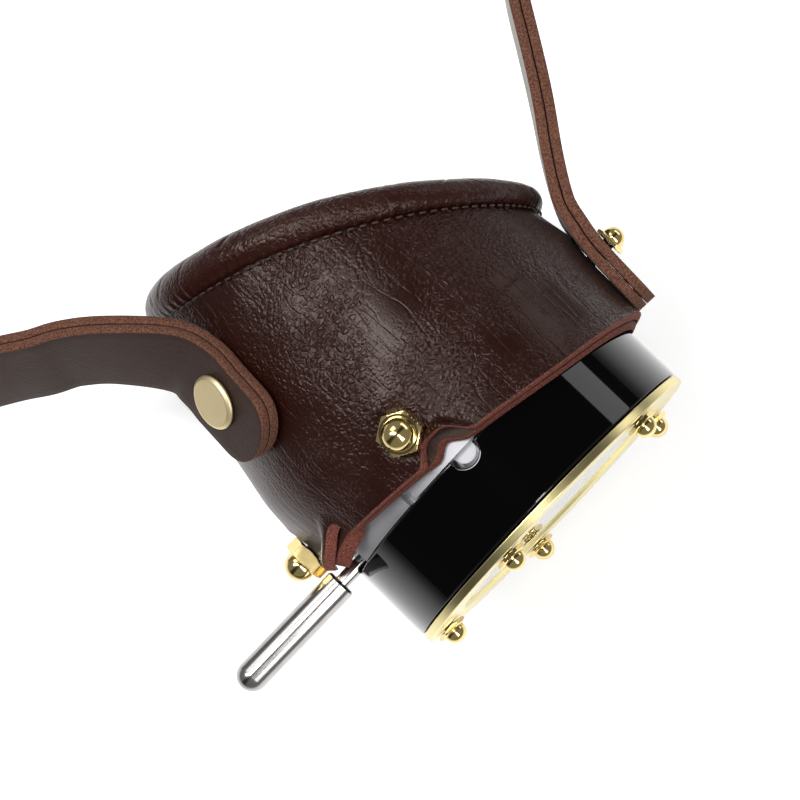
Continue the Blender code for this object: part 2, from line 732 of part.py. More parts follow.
def make_lever(stem_finish, handle_finish):
    def along(radius):
        return polar(radius, LEVER_DEG, LEVER_Y)

    stem_start = CAM_RADIUS - STEM_GRIP
    stem_end = HANDLE_START + HANDLE_BORE_DEPTH - SEAT_GAP
    bm = rod(STEM_RADIUS, along(stem_start), along(stem_end), steps=2 * HOLE_STEPS)
    add_object("lever_stem", mesh_from("lever_stem", bm), stem_finish)
    bore_radius = STEM_RADIUS + THREAD_GAP
    bore_end = HANDLE_START + HANDLE_BORE_DEPTH
    tip_steps = 5
    tip_centre = HANDLE_END - HANDLE_RADIUS
    profile = [
        (0, bore_end),
        (bore_radius, bore_end),
        (bore_radius, HANDLE_START),
        (HANDLE_RADIUS - HANDLE_BEVEL, HANDLE_START),
        (HANDLE_RADIUS, HANDLE_START + HANDLE_BEVEL),
    ]
    for i in range(tip_steps + 1):
        angle = math.pi / 2 * i / tip_steps
        profile.append((HANDLE_RADIUS * math.cos(angle), tip_centre + HANDLE_RADIUS * math.sin(angle)))
    profile[-1] = (0, HANDLE_END)
    bm = turned(profile, closed=False, steps=2 * HOLE_STEPS)
    bmesh.ops.rotate(bm, verts=bm.verts, matrix=Matrix.Rotation(math.pi / 2, 3, "Z"))
    bmesh.ops.translate(bm, verts=bm.verts, vec=(0, LEVER_Y, 0))
    return add_object("lever_handle", mesh_from("lever_handle", bm), handle_finish)


# Fasteners, each made along its own Z axis


def acorn_nut_mesh(name, flats, hex_height, dome_radius, thread_radius, finish):
    corner_radius = flats / math.sqrt(3)
    prism = rod(corner_radius, (0, 0, 0), (0, 0, hex_height), steps=6)
    obj = add_object(name, mesh_from(name, prism), finish)
    dome_centre = hex_height + NUT_DOME_LIFT
    profile = [(0, hex_height / 2), (dome_radius, hex_height / 2)]
    for i in range(DOME_RINGS):
        angle = math.pi / 2 * i / DOME_RINGS
        profile.append((dome_radius * math.cos(angle), dome_centre + dome_radius * math.sin(angle)))
    profile.append((0, dome_centre + dome_radius))
    dome = turned(profile, closed=False, steps=DOME_STEPS)
    bmesh.ops.rotate(dome, verts=dome.verts, matrix=Matrix.Rotation(math.pi / 2, 3, "X"))
    boolean(obj, cutter(f"{name}_dome", dome), "UNION")
    bore_end = dome_centre + dome_radius * NUT_BORE_SHARE
    bore = rod(thread_radius + THREAD_GAP, (0, 0, -CUT_OVERRUN), (0, 0, bore_end), steps=HOLE_STEPS)
    cut(obj, cutter(f"{name}_bore", bore))
    return baked_mesh(obj, name)


def screw_mesh(name, shank_radius, shank_length, finish):
    """A round-head screw whose head ends at the origin and whose shank rises from there."""
    profile = [
        (0, -SCREW_HEAD_HEIGHT),
        (SCREW_HEAD_RADIUS * SCREW_CROWN_SHARE, -SCREW_HEAD_HEIGHT),
        (SCREW_HEAD_RADIUS, -SCREW_HEAD_HEIGHT / 2),
        (SCREW_HEAD_RADIUS, 0),
        (shank_radius, 0),
        (shank_radius, shank_length),
        (0, shank_length),
    ]
    bm = turned(profile, closed=False, steps=DOME_STEPS)
    bmesh.ops.rotate(bm, verts=bm.verts, matrix=Matrix.Rotation(math.pi / 2, 3, "X"))
    obj = add_object(name, mesh_from(name, bm), finish)
    reach = SCREW_HEAD_RADIUS + CUT_OVERRUN
    half = SCREW_SLOT_WIDTH / 2
    low = (-reach, -half, -SCREW_HEAD_HEIGHT - CUT_OVERRUN)
    high = (reach, half, -SCREW_HEAD_HEIGHT + SCREW_SLOT_DEPTH)
    cut(obj, cutter(f"{name}_slot", block(low, high)))
    return baked_mesh(obj, name)


def make_bezel_fasteners(nut_finish, stud_finish):
    nut = acorn_nut_mesh(
        "bezel_nut", SMALL_NUT_FLATS, SMALL_NUT_HEX_HEIGHT, SMALL_NUT_DOME_RADIUS, STUD_RADIUS, nut_finish
    )
    forward = Vector((0, -1, 0)).to_track_quat("Z", "Y")
    nut_seat = BEZEL_FRONT_Y - SEAT_GAP
    for i, degrees in enumerate(bolt_degrees(), 1):
        add_object(f"bezel_nut_{i}", nut, nut_finish, polar(BOLT_CIRCLE_RADIUS, degrees, nut_seat), forward)
        start = polar(BOLT_CIRCLE_RADIUS, degrees, FLANGE_BACK_Y - SEAT_GAP)
        end = polar(BOLT_CIRCLE_RADIUS, degrees, nut_seat - SMALL_NUT_HEX_HEIGHT)
        name = f"bezel_stud_{i}"
        add_object(name, mesh_from(name, rod(STUD_RADIUS, start, end)), stud_finish)
    return nut


def make_cup_fasteners(nut_finish, screw_finish, small_nut):
    nut = acorn_nut_mesh(
        "cup_nut", CUP_NUT_FLATS, CUP_NUT_HEX_HEIGHT, CUP_NUT_DOME_RADIUS, SCREW_RADIUS, nut_finish
    )
    head_seat = HOUSING_BORE_RADIUS - SEAT_GAP
    shank = NUT_SEAT_RADIUS + CUP_NUT_HEX_HEIGHT - head_seat
    screw = screw_mesh("cup_screw", SCREW_RADIUS, shank, screw_finish)
    for i, degrees in enumerate(CUP_NUT_DEGREES, 1):
        place = polar(NUT_SEAT_RADIUS, degrees, SCREW_Y)
        add_object(f"cup_nut_{i}", nut, nut_finish, place, outward(degrees))
        add_object(f"cup_screw_{i}", screw, screw_finish, polar(head_seat, degrees, SCREW_Y), outward(degrees))
    strap_outside = right_seat(SCREW_Y, 1.0)
    seat = math.hypot(strap_outside.x, strap_outside.z) + SEAT_GAP
    add_object("strap_nut", small_nut, nut_finish, polar(seat, STRAP_NUT_DEG, SCREW_Y), outward(STRAP_NUT_DEG))
    long_screw = screw_mesh("strap_screw", STUD_RADIUS, seat + SMALL_NUT_HEX_HEIGHT - head_seat, screw_finish)
    place = polar(head_seat, STRAP_NUT_DEG, SCREW_Y)
    return add_object("strap_screw", long_screw, screw_finish, place, outward(STRAP_NUT_DEG))


# Leather cup


def flare_share(degrees):
    """How far the cup has opened to pass over the barrel, which it does on the nose side."""
    cosine = math.cos(math.radians(degrees))
    return smooth_step((cosine - FLARE_START_COS) / (FLARE_FULL_COS - FLARE_START_COS))


def edge_y(degrees):
    """The front edge of the leather: further back on the temple side, with a dip before the near nut."""
    tilt = EDGE_TILT * math.cos(math.radians(degrees))
    return EDGE_MIDDLE_Y - tilt - EDGE_DIP * bell(degrees, EDGE_DIP_DEG, EDGE_DIP_SPREAD_DEG)


def rim_frame():
    """Across, up and back directions of the eye rim's plane."""
    angle = math.radians(RIM_TURN_DEG)
    across = Vector((math.cos(angle), -math.sin(angle), 0))
    back = Vector((math.sin(angle), math.cos(angle), 0))
    return across, Vector((0, 0, 1)), back


def rim_point(degrees, out, rise):
    """A point by the roll's centre line: out from it in the rim's plane, and rise behind it."""
    across, up, back = rim_frame()
    angle = math.radians(degrees)
    cosine, sine = math.cos(angle), math.sin(angle)
    point = Vector((RIM_CENTRE_X, RIM_CENTRE_Y, 0))
    point += across * (RIM_HALF_LENGTH + out) * cosine
    point += up * (RIM_HALF_HEIGHT + out) * sine
    return point + back * (RIM_ARCH * sine * sine + rise)


def roll_height(degrees):
    """Half the roll's height, which is more on the temple side."""
    return ROLL_HEIGHT - ROLL_TAPER * math.cos(math.radians(degrees))


def cup_surface(degrees, share, depth):
    """A point of the cup: the share runs from 0 at the screws to 1 at the rim, depth goes in from the outside."""
    start = polar(CUP_SNUG_RADIUS + CUP_CLAMP_FLARE * flare_share(degrees) - depth, degrees, HOUSING_BACK_Y)
    end = rim_point(degrees, ROLL_OVERHANG - depth, -roll_height(degrees) - SEAT_GAP)
    fullness = BELLY_EVEN_SHARE - (1 - BELLY_EVEN_SHARE) * math.cos(math.radians(degrees))
    belly = WALL_BELLY * fullness * (1 - share) * (1 - math.exp(-share / BELLY_START_SHARE))
    return start.lerp(end, share) + polar(belly, degrees)


def front_surface(degrees, share, depth, lift, set_back):
    """A point of the band that the screws clamp: the share runs from 0 at the front edge to 1 at the housing's end."""
    flare = flare_share(degrees)
    front_radius = CUP_SNUG_RADIUS + CUP_FRONT_FLARE * flare - depth
    back_radius = CUP_SNUG_RADIUS + CUP_CLAMP_FLARE * flare - depth
    start = edge_y(degrees) + set_back
    y = start + (HOUSING_BACK_Y - start) * share
    fade = 1 - smooth_step((y - start) / WAVE_DEPTH)
    radius = front_radius + (back_radius - front_radius) * share + lift * fade
    return polar(radius, degrees, y)


def cup_layer(name, depth, waves, lead, curl, finish):
    """One leather layer as a closed skin: out along its outer side, back along its inner side."""
    band_shares, wall_shares = (0.0, 0.17, 0.4, 1.0), (0.06, 0.15, 0.4, 0.7, 1.0)
    sections = []
    for i in range(CUP_STEPS):
        degrees = 360.0 * i / CUP_STEPS
        lift = sum(height * bell(degrees, centre, spread) for height, centre, spread in waves)
        set_back = curl * bell(degrees, CURL_DEG, CURL_SPREAD_DEG) - lead
        section = []
        for side in (depth, depth + LEATHER):
            line = [front_surface(degrees, share, side, lift, set_back) for share in band_shares]
            line += [cup_surface(degrees, share, side) for share in wall_shares]
            section.append(line)
        sections.append(section[0] + list(reversed(section[1])))
    turn_at = len(band_shares) + len(wall_shares)
    obj = add_object(name, mesh_from(name, swept(sections, closed=True, turn_at=turn_at)), finish)
    holes = bmesh.new()
    for degrees, radius in screws():
        start = polar(HOUSING_RADIUS - CUT_OVERRUN, degrees, SCREW_Y)
        end = polar(CUP_SNUG_RADIUS + CUP_CLAMP_FLARE + CUT_OVERRUN, degrees, SCREW_Y)
        rod(radius + SCREW_CLEARANCE, start, end, bm=holes)
    place, direction, _ = rivet_axis()
    reach = CUP_THICKNESS + STRAP_THICKNESS
    rod(RIVET_POST_RADIUS + SCREW_CLEARANCE, place - direction * reach, place + direction * reach, bm=holes)
    return cut(obj, cutter(f"{name}_holes", holes))


def make_rim_roll(finish):
    sections = []
    for i in range(CUP_STEPS):
        degrees = 360.0 * i / CUP_STEPS
        section = []
        for j in range(ROLL_STEPS):
            angle = 2 * math.pi * j / ROLL_STEPS
            rise = roll_height(degrees) * math.sin(angle)
            section.append(rim_point(degrees, ROLL_RADIUS * math.cos(angle), rise))
        sections.append(section)
    return add_object("rim_roll", mesh_from("rim_roll", swept(sections, closed=True)), finish)


# Straps


def rivet_axis():
    """Where the rivet's axis meets the outside of the cup, its direction out of it, and the way along the cup."""
    start, end = HOUSING_BACK_Y, cup_surface(LEFT_STRAP_DEG, 1.0, 0.0).y
    share = (LEFT_RIVET_Y - start) / (end - start)
    place = cup_surface(LEFT_STRAP_DEG, share, 0.0)
    step, turn = SLOPE_STEP_SHARE, SLOPE_STEP_DEG
    along = cup_surface(LEFT_STRAP_DEG, share + step, 0.0) - cup_surface(LEFT_STRAP_DEG, share - step, 0.0)
    round_it = cup_surface(LEFT_STRAP_DEG + turn, share, 0.0) - cup_surface(LEFT_STRAP_DEG - turn, share, 0.0)
    direction = round_it.cross(along).normalized()
    if direction.x > 0:
        direction = -direction
    return place, direction, along.normalized()


def lean_of(direction, along):
    """How far a strap's outside tips up from level, in degrees, where it heads along and faces this direction."""
    level = Vector((along.y, -along.x, 0)).normalized()
    if level.dot(direction) < 0:
        level = -level
    upright = level.cross(along).normalized()
    if upright.z < 0:
        upright = -upright
    return math.degrees(math.atan2(direction.dot(upright), direction.dot(level)))


def right_seat(y, share_of_strap):
    """A point of the right strap above its screw's line, from its inside, 0, to its outside, 1."""
    share = (y - edge_y(STRAP_NUT_DEG)) / (HOUSING_BACK_Y - edge_y(STRAP_NUT_DEG))
    flare = CUP_FRONT_FLARE + (CUP_CLAMP_FLARE - CUP_FRONT_FLARE) * share
    radius = CUP_SNUG_RADIUS + flare * flare_share(STRAP_NUT_DEG) + STRAP_STAND_OFF
    return polar(radius + STRAP_THICKNESS * share_of_strap, STRAP_NUT_DEG, y)


def spline_points(points, steps):
    """A smooth curve through all points, as Catmull and Rom's rule gives it, in even numbers of steps per span."""
    ends = [points[0] * 2 - points[1], *points, points[-1] * 2 - points[-2]]
    curve = []
    for a, b, c, d in zip(ends, ends[1:], ends[2:], ends[3:]):
        for i in range(steps):
            t = i / steps
            near = 2 * b + (c - a) * t
            far = (2 * a - 5 * b + 4 * c - d) * t * t + (3 * b - a - 3 * c + d) * t * t * t
            curve.append((near + far) / 2)
    curve.append(points[-1])
    return curve


def route_of(anchor_points, anchor_leans, shares, lean, side):
    """The strap's middle line from its tip at the cup to the straight stretch behind the head, with the lean there."""
    held = anchor_points[-1]
    far = Vector((side * LOOP_HALF_WIDTH, LOOP_BACK_Y, STRAP_REST_Z))
    points, leans = list(anchor_points), list(anchor_leans)
    for across, depth, drop, lean_share in shares:
        points.append(held + Matrix.Diagonal((across, depth, drop)) @ (far - held))
        leans.append(lean * lean_share)
    points.append(Vector((side * BACK_FLAT_SHARE * LOOP_HALF_WIDTH, LOOP_BACK_Y, BACK_Z)))
    leans.append(0.0)
    return points, leans


def left_route():
    place, direction, ahead = rivet_axis()
    ahead = Matrix.Rotation(math.radians(LEFT_TURN_DEG), 3, direction) @ ahead
    centre = place + direction * (STRAP_STAND_OFF + STRAP_THICKNESS / 2)
    tip = centre - ahead * LEFT_TIP_LENGTH
    beyond = centre + ahead * LEFT_HOLD_LENGTH
    lean = lean_of(direction, ahead)
    return route_of([tip, centre, beyond], [lean] * 3, LEFT_ROUTE_SHARES, lean, -1)


def right_route():
    held = [right_seat(SCREW_Y + away, 0.5) for away in (-RIGHT_TIP_LENGTH, 0.0)]
    return route_of(held, [STRAP_NUT_DEG] * 2, RIGHT_ROUTE_SHARES, RIGHT_LEAN_DEG, 1)


def stations_of(route, leans):
    """Even steps along the route: point, direction along, direction out of the loop, direction up the width."""
    fine = 24
    curve = spline_points(route, fine)
    lean_curve = [v.x for v in spline_points([Vector((lean, 0, 0)) for lean in leans], fine)]
    lengths = [0.0]
    for first, second in zip(curve, curve[1:]):
        lengths.append(lengths[-1] + (second - first).length)
    total = lengths[-1]
    tip = STRAP_TIP_RADIUS
    wanted = [share * tip for share, _ in TIP_SHARES]
    for start, end, step in ((tip, STRAP_BEND_LENGTH, STRAP_BEND_STEP), (STRAP_BEND_LENGTH, total, STRAP_STEP)):
        count = round((end - start) / step)
        wanted += [start + (end - start) * (i + 1) / count for i in range(count)]
    stations, at = [], 0
    centre = Vector((0, LOOP_BACK_Y / 2, 0))
    for length in wanted:
        while at < len(lengths) - 2 and lengths[at + 1] < length:
            at += 1
        share = (length - lengths[at]) / (lengths[at + 1] - lengths[at])
        point = curve[at].lerp(curve[at + 1], share)
        low, high = max(at - 2, 0), min(at + 3, len(curve) - 1)
        along = (curve[high] - curve[low]).normalized()
        lean = math.radians(lean_curve[at] + (lean_curve[at + 1] - lean_curve[at]) * share)
        level = Vector((along.y, -along.x, 0)).normalized()
        if level.dot(point - centre) < 0:
            level = -level
        upright = level.cross(along).normalized()
        if upright.z < 0:
            upright = -upright
        out = level * math.cos(lean) + upright * math.sin(lean)
        up = upright * math.cos(lean) - level * math.sin(lean)
        stations.append((length, point, along, out, up))
    return stations, total


def tip_width(length):
    """The share of the full width this far from a rounded end."""
    away = length / STRAP_TIP_RADIUS
    for (first, low), (second, high) in zip(TIP_SHARES, TIP_SHARES[1:]):
        if away <= second:
            return low + (high - low) * (away - first) / (second - first)
    return 1.0


def strap_section(middle, out, up, width_share):
    half, thick = STRAP_WIDTH / 2 * width_share, STRAP_LEATHER / 2
    return [
        middle + out * thick + up * half,
        middle + out * thick - up * half,
        middle - out * thick - up * half,
        middle - out * thick + up * half,
    ]


def back_stations(start_x, end_x):
    """Stations on the straight stretch behind the head."""
    count = max(round(abs(end_x - start_x) / STRAP_STEP), 1)
    out, up = Vector((0, 1, 0)), Vector((0, 0, 1))
    xs = [start_x + (end_x - start_x) * (i + 1) / count for i in range(count)]
    return [(Vector((x, LOOP_BACK_Y, BACK_Z)), out, up) for x in xs]


def make_left_strap(finish):
    """One strip, folded round the buckle's bar, so that it lies double all the way to the cup."""
    stations, _ = stations_of(*left_route())
    straight = back_stations(-BACK_FLAT_SHARE * LOOP_HALF_WIDTH, 0.0)
    one_way = [(point, out, up, tip_width(length)) for length, point, along, out, up in stations]
    one_way += [(point, out, up, 1.0) for point, out, up in straight]
    outer, inner = [], []
    for point, out, up, width in one_way:
        near_bar = smooth_step(1 + (point.x / FOLD_TAPER)) if point.y > LOOP_BACK_Y - FOLD_TAPER else 0.0
        offset = LAYER_OFFSET + (FOLD_OFFSET - LAYER_OFFSET) * near_bar
        outer.append(strap_section(point + out * offset, out, up, width))
        inner.append(strap_section(point - out * offset, -out, up, width))
    fold_steps = 6
    bar, up = Vector((0, LOOP_BACK_Y, BACK_Z)), Vector((0, 0, 1))
    fold = []
    for i in range(1, fold_steps):
        angle = math.pi / 2 - math.pi * i / fold_steps
        out = Vector((math.cos(angle), math.sin(angle), 0))
        fold.append(strap_section(bar + out * FOLD_OFFSET, out, up, 1.0))
    bm = swept(outer + fold + list(reversed(inner)), closed=False)
    obj = add_object("left_strap", mesh_from("left_strap", bm), finish)
    cuts = bmesh.new()
    place, direction, _ = rivet_axis()
    reach = STRAP_STAND_OFF + STRAP_THICKNESS + CUT_OVERRUN
    rod(RIVET_POST_RADIUS + SCREW_CLEARANCE, place, place + direction * reach, bm=cuts)
    half = PRONG_SLOT_WIDTH / 2
    fold_out = FOLD_OFFSET + STRAP_LEATHER
    slot_end = PRONG_SLOT_LENGTH - fold_out
    low = (-slot_end, LOOP_BACK_Y - fold_out, BACK_Z - half)
    high = (fold_out, LOOP_BACK_Y + fold_out, BACK_Z + half)
    block(low, high, bm=cuts)
    return cut(obj, cutter("left_strap_cuts", cuts))


def tongue_line():
    """The middle of the tongue where it runs under the frame, over the bar and on along the left strap."""
    bar_top = FOLD_OFFSET + STRAP_LEATHER / 2 + SEAT_GAP + STRAP_LEATHER / 2
    strap_top = LAYER_OFFSET + STRAP_LEATHER / 2 + SEAT_GAP + STRAP_LEATHER / 2
    tops = {"level": LAYER_OFFSET, "bar": bar_top, "strap": strap_top}
    base = Vector((0, LOOP_BACK_Y, BACK_Z))
    line = [base + Vector((FRAME_REACH * share, tops[over] * rise, 0)) for share, over, rise in TONGUE_SHARES]
    return line + [base + Vector((-TONGUE_LENGTH, strap_top, 0))]


def make_right_strap(outer_finish, inner_finish):
    stations, _ = stations_of(*right_route())
    up = Vector((0, 0, 1))
    tongue = spline_points(tongue_line(), 3)
    straight = back_stations(BACK_FLAT_SHARE * LOOP_HALF_WIDTH, tongue[0].x + STRAP_STEP / 2)
    outer = [
        strap_section(point + out * LAYER_OFFSET, out, up_width, tip_width(length))
        for length, point, along, out, up_width in stations
    ]
    outer += [strap_section(point + out * LAYER_OFFSET, out, up_width, 1.0) for point, out, up_width in straight]
    for i, point in enumerate(tongue):
        along = tongue[min(i + 1, len(tongue) - 1)] - tongue[max(i - 1, 0)]
        out = Vector((along.y, -along.x, 0)).normalized()
        if out.y < 0:
            out = -out
        length = (tongue[-1] - point).length
        outer.append(strap_section(point, out, up, tip_width(length)))
    obj = add_object("right_strap_outer", mesh_from("right_strap_outer", swept(outer, closed=False)), outer_finish)
    inner = [
        strap_section(point - out * LAYER_OFFSET, out, up_width, tip_width(length))
        for length, point, along, out, up_width in stations
    ]
    inner += [strap_section(point - out * LAYER_OFFSET, out, up_width, 1.0) for point, out, up_width in straight]
    under = add_object("right_strap_inner", mesh_from("right_strap_inner", swept(inner, closed=False)), inner_finish)
    for strap in (obj, under):
        hole = rod(STUD_RADIUS + SCREW_CLEARANCE, right_seat(SCREW_Y, -1.0), right_seat(SCREW_Y, 2.0))
        cut(strap, cutter(f"{strap.name}_screw_hole", hole))
    holes = bmesh.new()
    half_length = (HOLE_LENGTH - HOLE_WIDTH) / 2
    arc_steps = HOLE_STEPS // 2
    for i in range(HOLE_COUNT):
        centre = FRAME_REACH / 2 - HOLE_PITCH * i
        outline = []
        for side in (1, -1):
            for j in range(arc_steps + 1):
                angle = side * math.pi / 2 - math.pi * j / arc_steps
                x = centre + side * half_length + HOLE_WIDTH / 2 * math.cos(angle)
                outline.append((x, BACK_Z + HOLE_WIDTH / 2 * math.sin(angle)))
        extruded(outline, LOOP_BACK_Y - STRAP_LEATHER, LOOP_BACK_Y + 2 * STRAP_THICKNESS, bm=holes)
    return cut(obj, cutter("strap_holes", holes))


def make_rivet(finish):
    place, direction, _ = rivet_axis()
    inside = CUP_THICKNESS + RIVET_CAP_STAND_OFF
    outside = STRAP_STAND_OFF + STRAP_THICKNESS + SEAT_GAP
    edge = RIVET_CAP_HEIGHT * RIVET_EDGE_SHARE
    back_radius = RIVET_CAP_RADIUS * RIVET_BACK_SHARE
    profile = [
        (0, -inside - RIVET_CAP_HEIGHT),
        (back_radius, -inside - RIVET_CAP_HEIGHT),
        (back_radius, -inside),
        (RIVET_POST_RADIUS, -inside),
        (RIVET_POST_RADIUS, outside),
        (RIVET_CAP_RADIUS, outside),
        (RIVET_CAP_RADIUS, outside + edge),
        (RIVET_CAP_RADIUS * RIVET_CROWN_SHARE, outside + RIVET_CAP_HEIGHT),
        (0, outside + RIVET_CAP_HEIGHT),
    ]
    bm = turned(profile, closed=False, steps=2 * HOLE_STEPS)
    bmesh.ops.rotate(bm, verts=bm.verts, matrix=Matrix.Rotation(math.pi / 2, 3, "X"))
    obj = add_object("strap_rivet", mesh_from("strap_rivet", bm), finish, place, direction.to_track_quat("Z", "Y"))
    return obj


# Buckle


def make_buckle(metal):
    bar = Vector((0, LOOP_BACK_Y, BACK_Z))
    window_half, half_height = FRAME_WINDOW_HALF, FRAME_HALF_HEIGHT
    turn = Matrix.Rotation(math.radians(FRAME_RISE_DEG), 3, "Z")
    thick = FRAME_THICKNESS / 2
    outer = block((0, -thick, -half_height), (FRAME_REACH + FRAME_RAIL, thick, half_height), turn=turn)
    frame = add_object("buckle_frame", mesh_from("buckle_frame", outer), metal, bar)
    ears = rod(FRAME_EAR_RADIUS, (0, 0, -half_height), (0, 0, half_height), steps=2 * HOLE_STEPS)
    tool = cutter("buckle_ears", ears)
    tool.location = bar
    boolean(frame, tool, "UNION")
    window = block(
        (-FRAME_EAR_RADIUS - CUT_OVERRUN, -FRAME_EAR_RADIUS - CUT_OVERRUN, -window_half),
        (FRAME_REACH, FRAME_EAR_RADIUS + CUT_OVERRUN, window_half),
        turn=turn,
    )
    reach = half_height + CUT_OVERRUN
    for name, bm in (
        ("buckle_window", window),
        ("buckle_bar_hole", rod(BAR_HOLE_RADIUS, (0, 0, -reach), (0, 0, reach))),
    ):
        tool = cutter(name, bm)
        tool.location = bar
        cut(frame, tool)
    pin = rod(BAR_RADIUS, (0, 0, -half_height), (0, 0, half_height))
    add_object("buckle_bar", mesh_from("buckle_bar", pin), metal, bar)
    return make_prong(metal, bar)


def prong_line():
    """The middle of the prong from its eye to its tip on the frame's far rail, seen from above the bar."""
    turn = math.radians(FRAME_RISE_DEG)
    lift = FRAME_THICKNESS / 2 + SEAT_GAP + PRONG_RADIUS
    rail = FRAME_REACH + FRAME_RAIL / 2
    tip = Vector((rail * math.cos(turn) - lift * math.sin(turn), rail * math.sin(turn) + lift * math.cos(turn), 0))
    eye = BAR_HOLE_RADIUS + PRONG_EYE_WALL / 2
    start = tip.normalized() * eye
    over = FRAME_RAIL / 2
    end = tip + Vector((math.cos(turn), math.sin(turn), 0)) * over
    return [start, start.lerp(tip, 0.5), tip, end]


def make_prong(metal, bar):
    half = PRONG_EYE_HEIGHT / 2
    inner, outer = BAR_HOLE_RADIUS, BAR_HOLE_RADIUS + PRONG_EYE_WALL
    sections = []
    for i in range(2 * HOLE_STEPS):
        angle = 2 * math.pi * i / (2 * HOLE_STEPS)
        direction = Vector((math.cos(angle), math.sin(angle), 0))
        low, high = Vector((0, 0, -half)), Vector((0, 0, half))
        near, far = direction * inner, direction * outer
        sections.append([near + low, far + low, far + high, near + high])
    prong = add_object("buckle_prong", mesh_from("buckle_prong", swept(sections, closed=True)), metal, bar)
    line = prong_line()
    sides = 8
    rings = []
    for i, point in enumerate(line):
        along = (line[min(i + 1, len(line) - 1)] - line[max(i - 1, 0)]).normalized()
        side, up = Vector((-along.y, along.x, 0)), Vector((0, 0, 1))
        radius = PRONG_RADIUS * (PRONG_TIP_SHARE if i == len(line) - 1 else 1.0)
        ring = []
        for j in range(sides):
            angle = 2 * math.pi * j / sides
            ring.append(point + side * radius * math.cos(angle) + up * radius * math.sin(angle))
        rings.append(ring)
    tool = cutter("prong_arm", swept(rings, closed=False))
    tool.location = bar
    return boolean(prong, tool, "UNION")


def make_keeper(finish):
    under = STRAP_THICKNESS / 2 + SEAT_GAP
    over = STRAP_THICKNESS / 2 + SEAT_GAP * 2 + STRAP_LEATHER
    half = STRAP_WIDTH / 2 + SEAT_GAP
    inner = [(-under, -half), (over, -half), (over, half), (-under, half)]
    wall = KEEPER_WALL
    outer = [(-under - wall, -half - wall), (over + wall, -half - wall), (over + wall, half + wall)]
    outer.append((-under - wall, half + wall))
    sections = []
    for (y_in, z_in), (y_out, z_out) in zip(inner, outer):
        section = []
        for x, y, z in (
            (-KEEPER_WIDTH / 2, y_in, z_in),
            (-KEEPER_WIDTH / 2, y_out, z_out),
            (KEEPER_WIDTH / 2, y_out, z_out),
            (KEEPER_WIDTH / 2, y_in, z_in),
        ):
            section.append(Vector((x - KEEPER_X, y + LOOP_BACK_Y, z + BACK_Z)))
        sections.append(section)
    return add_object("strap_keeper", mesh_from("strap_keeper", swept(sections, closed=True), False), finish)


def main():
    clear_scene()
    brass = finish_of("polished_brass", "d8c078", 0.18, 1.0)
    black = finish_of("black_anodised", "08080a", 0.12, 0.6)
    silver = finish_of("turned_aluminium", "b9bbc0", 0.35, 1.0)
    steel = finish_of("polished_steel", "c9c6c6", 0.15, 1.0)
    blade_steel = finish_of("blued_steel", "3a3c44", 0.3, 1.0)
    glass = finish_of("clear_glass", "eef2f2", 0.03, 0.0)
    leather = finish_of("brown_leather", "34201c", 0.4, 0.0)
    lining = finish_of("lining_leather", "3c2621", 0.6, 0.0)
    strap_leather = finish_of("strap_leather", "3a2822", 0.5, 0.0)

    make_lens(glass)
    make_bezel(brass)
    make_barrel(black)
    make_housing(silver)
    for i in range(BLADE_COUNT):
        make_blade(i, blade_steel)
    make_cam_ring(black)
    make_retaining_ring(steel)
    make_lever(steel, steel)
    small_nut = make_bezel_fasteners(brass, steel)
    make_cup_fasteners(brass, steel, small_nut)
    bulge, flap = (BULGE_HEIGHT, BULGE_DEG, BULGE_SPREAD_DEG), (FLAP_HEIGHT, FLAP_DEG, FLAP_SPREAD_DEG)
    cup_layer("cup_outer", 0.0, [bulge, flap], 0.0, OUTER_CURL, leather)
    cup_layer("cup_lining", LEATHER + LAYER_GAP, [flap], LINING_LEAD, LINING_CURL, lining)
    make_rim_roll(leather)
    make_left_strap(strap_leather)
    make_right_strap(strap_leather, strap_leather)
    make_rivet(brass)
    make_buckle(brass)
    make_keeper(strap_leather)


main()
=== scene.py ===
# %% [markdown]
# # A leather monocle with a working iris
#
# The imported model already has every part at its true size. This lesson dresses it: leather that bends and creases,
# turned metal with eased edges, and finishes that come from what each material is. Everything is in metres. The
# origin is the middle of the lens, +Y runs towards the eye, +X to the nose and +Z up from the table.

import bmesh
import bpy
import numpy as np
from mathutils import Matrix, Vector


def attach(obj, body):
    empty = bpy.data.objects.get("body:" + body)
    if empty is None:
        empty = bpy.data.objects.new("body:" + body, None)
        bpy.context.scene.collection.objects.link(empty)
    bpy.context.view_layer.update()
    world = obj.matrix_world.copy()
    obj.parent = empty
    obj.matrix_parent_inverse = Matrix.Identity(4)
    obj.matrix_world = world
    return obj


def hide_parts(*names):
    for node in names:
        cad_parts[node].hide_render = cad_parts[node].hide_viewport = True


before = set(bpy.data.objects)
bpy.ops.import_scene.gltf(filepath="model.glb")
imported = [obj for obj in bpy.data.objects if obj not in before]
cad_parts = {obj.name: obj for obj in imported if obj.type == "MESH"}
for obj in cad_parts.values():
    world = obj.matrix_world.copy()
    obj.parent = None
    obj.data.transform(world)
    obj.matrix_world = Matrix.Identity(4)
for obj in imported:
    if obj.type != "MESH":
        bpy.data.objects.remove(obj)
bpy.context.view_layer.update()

# %% [markdown]
# ## The camera
#
# A product picture is taken from far away with a long lens, so that shapes stay square. The camera hangs 0.6 m
# above the piece and looks almost straight down. It is turned about its own axis, so that the barrel points down
# and right.

# %% Camera
CAMERA_PLACE = Vector((-0.0047, -0.0303, 0.5967))
CAMERA_AIM = Vector((-0.0047, 0.0324, 0.0))
CAMERA_UP = Vector((0.719, 0.694, 0.0))
CAMERA_LENS_MM = 156.6


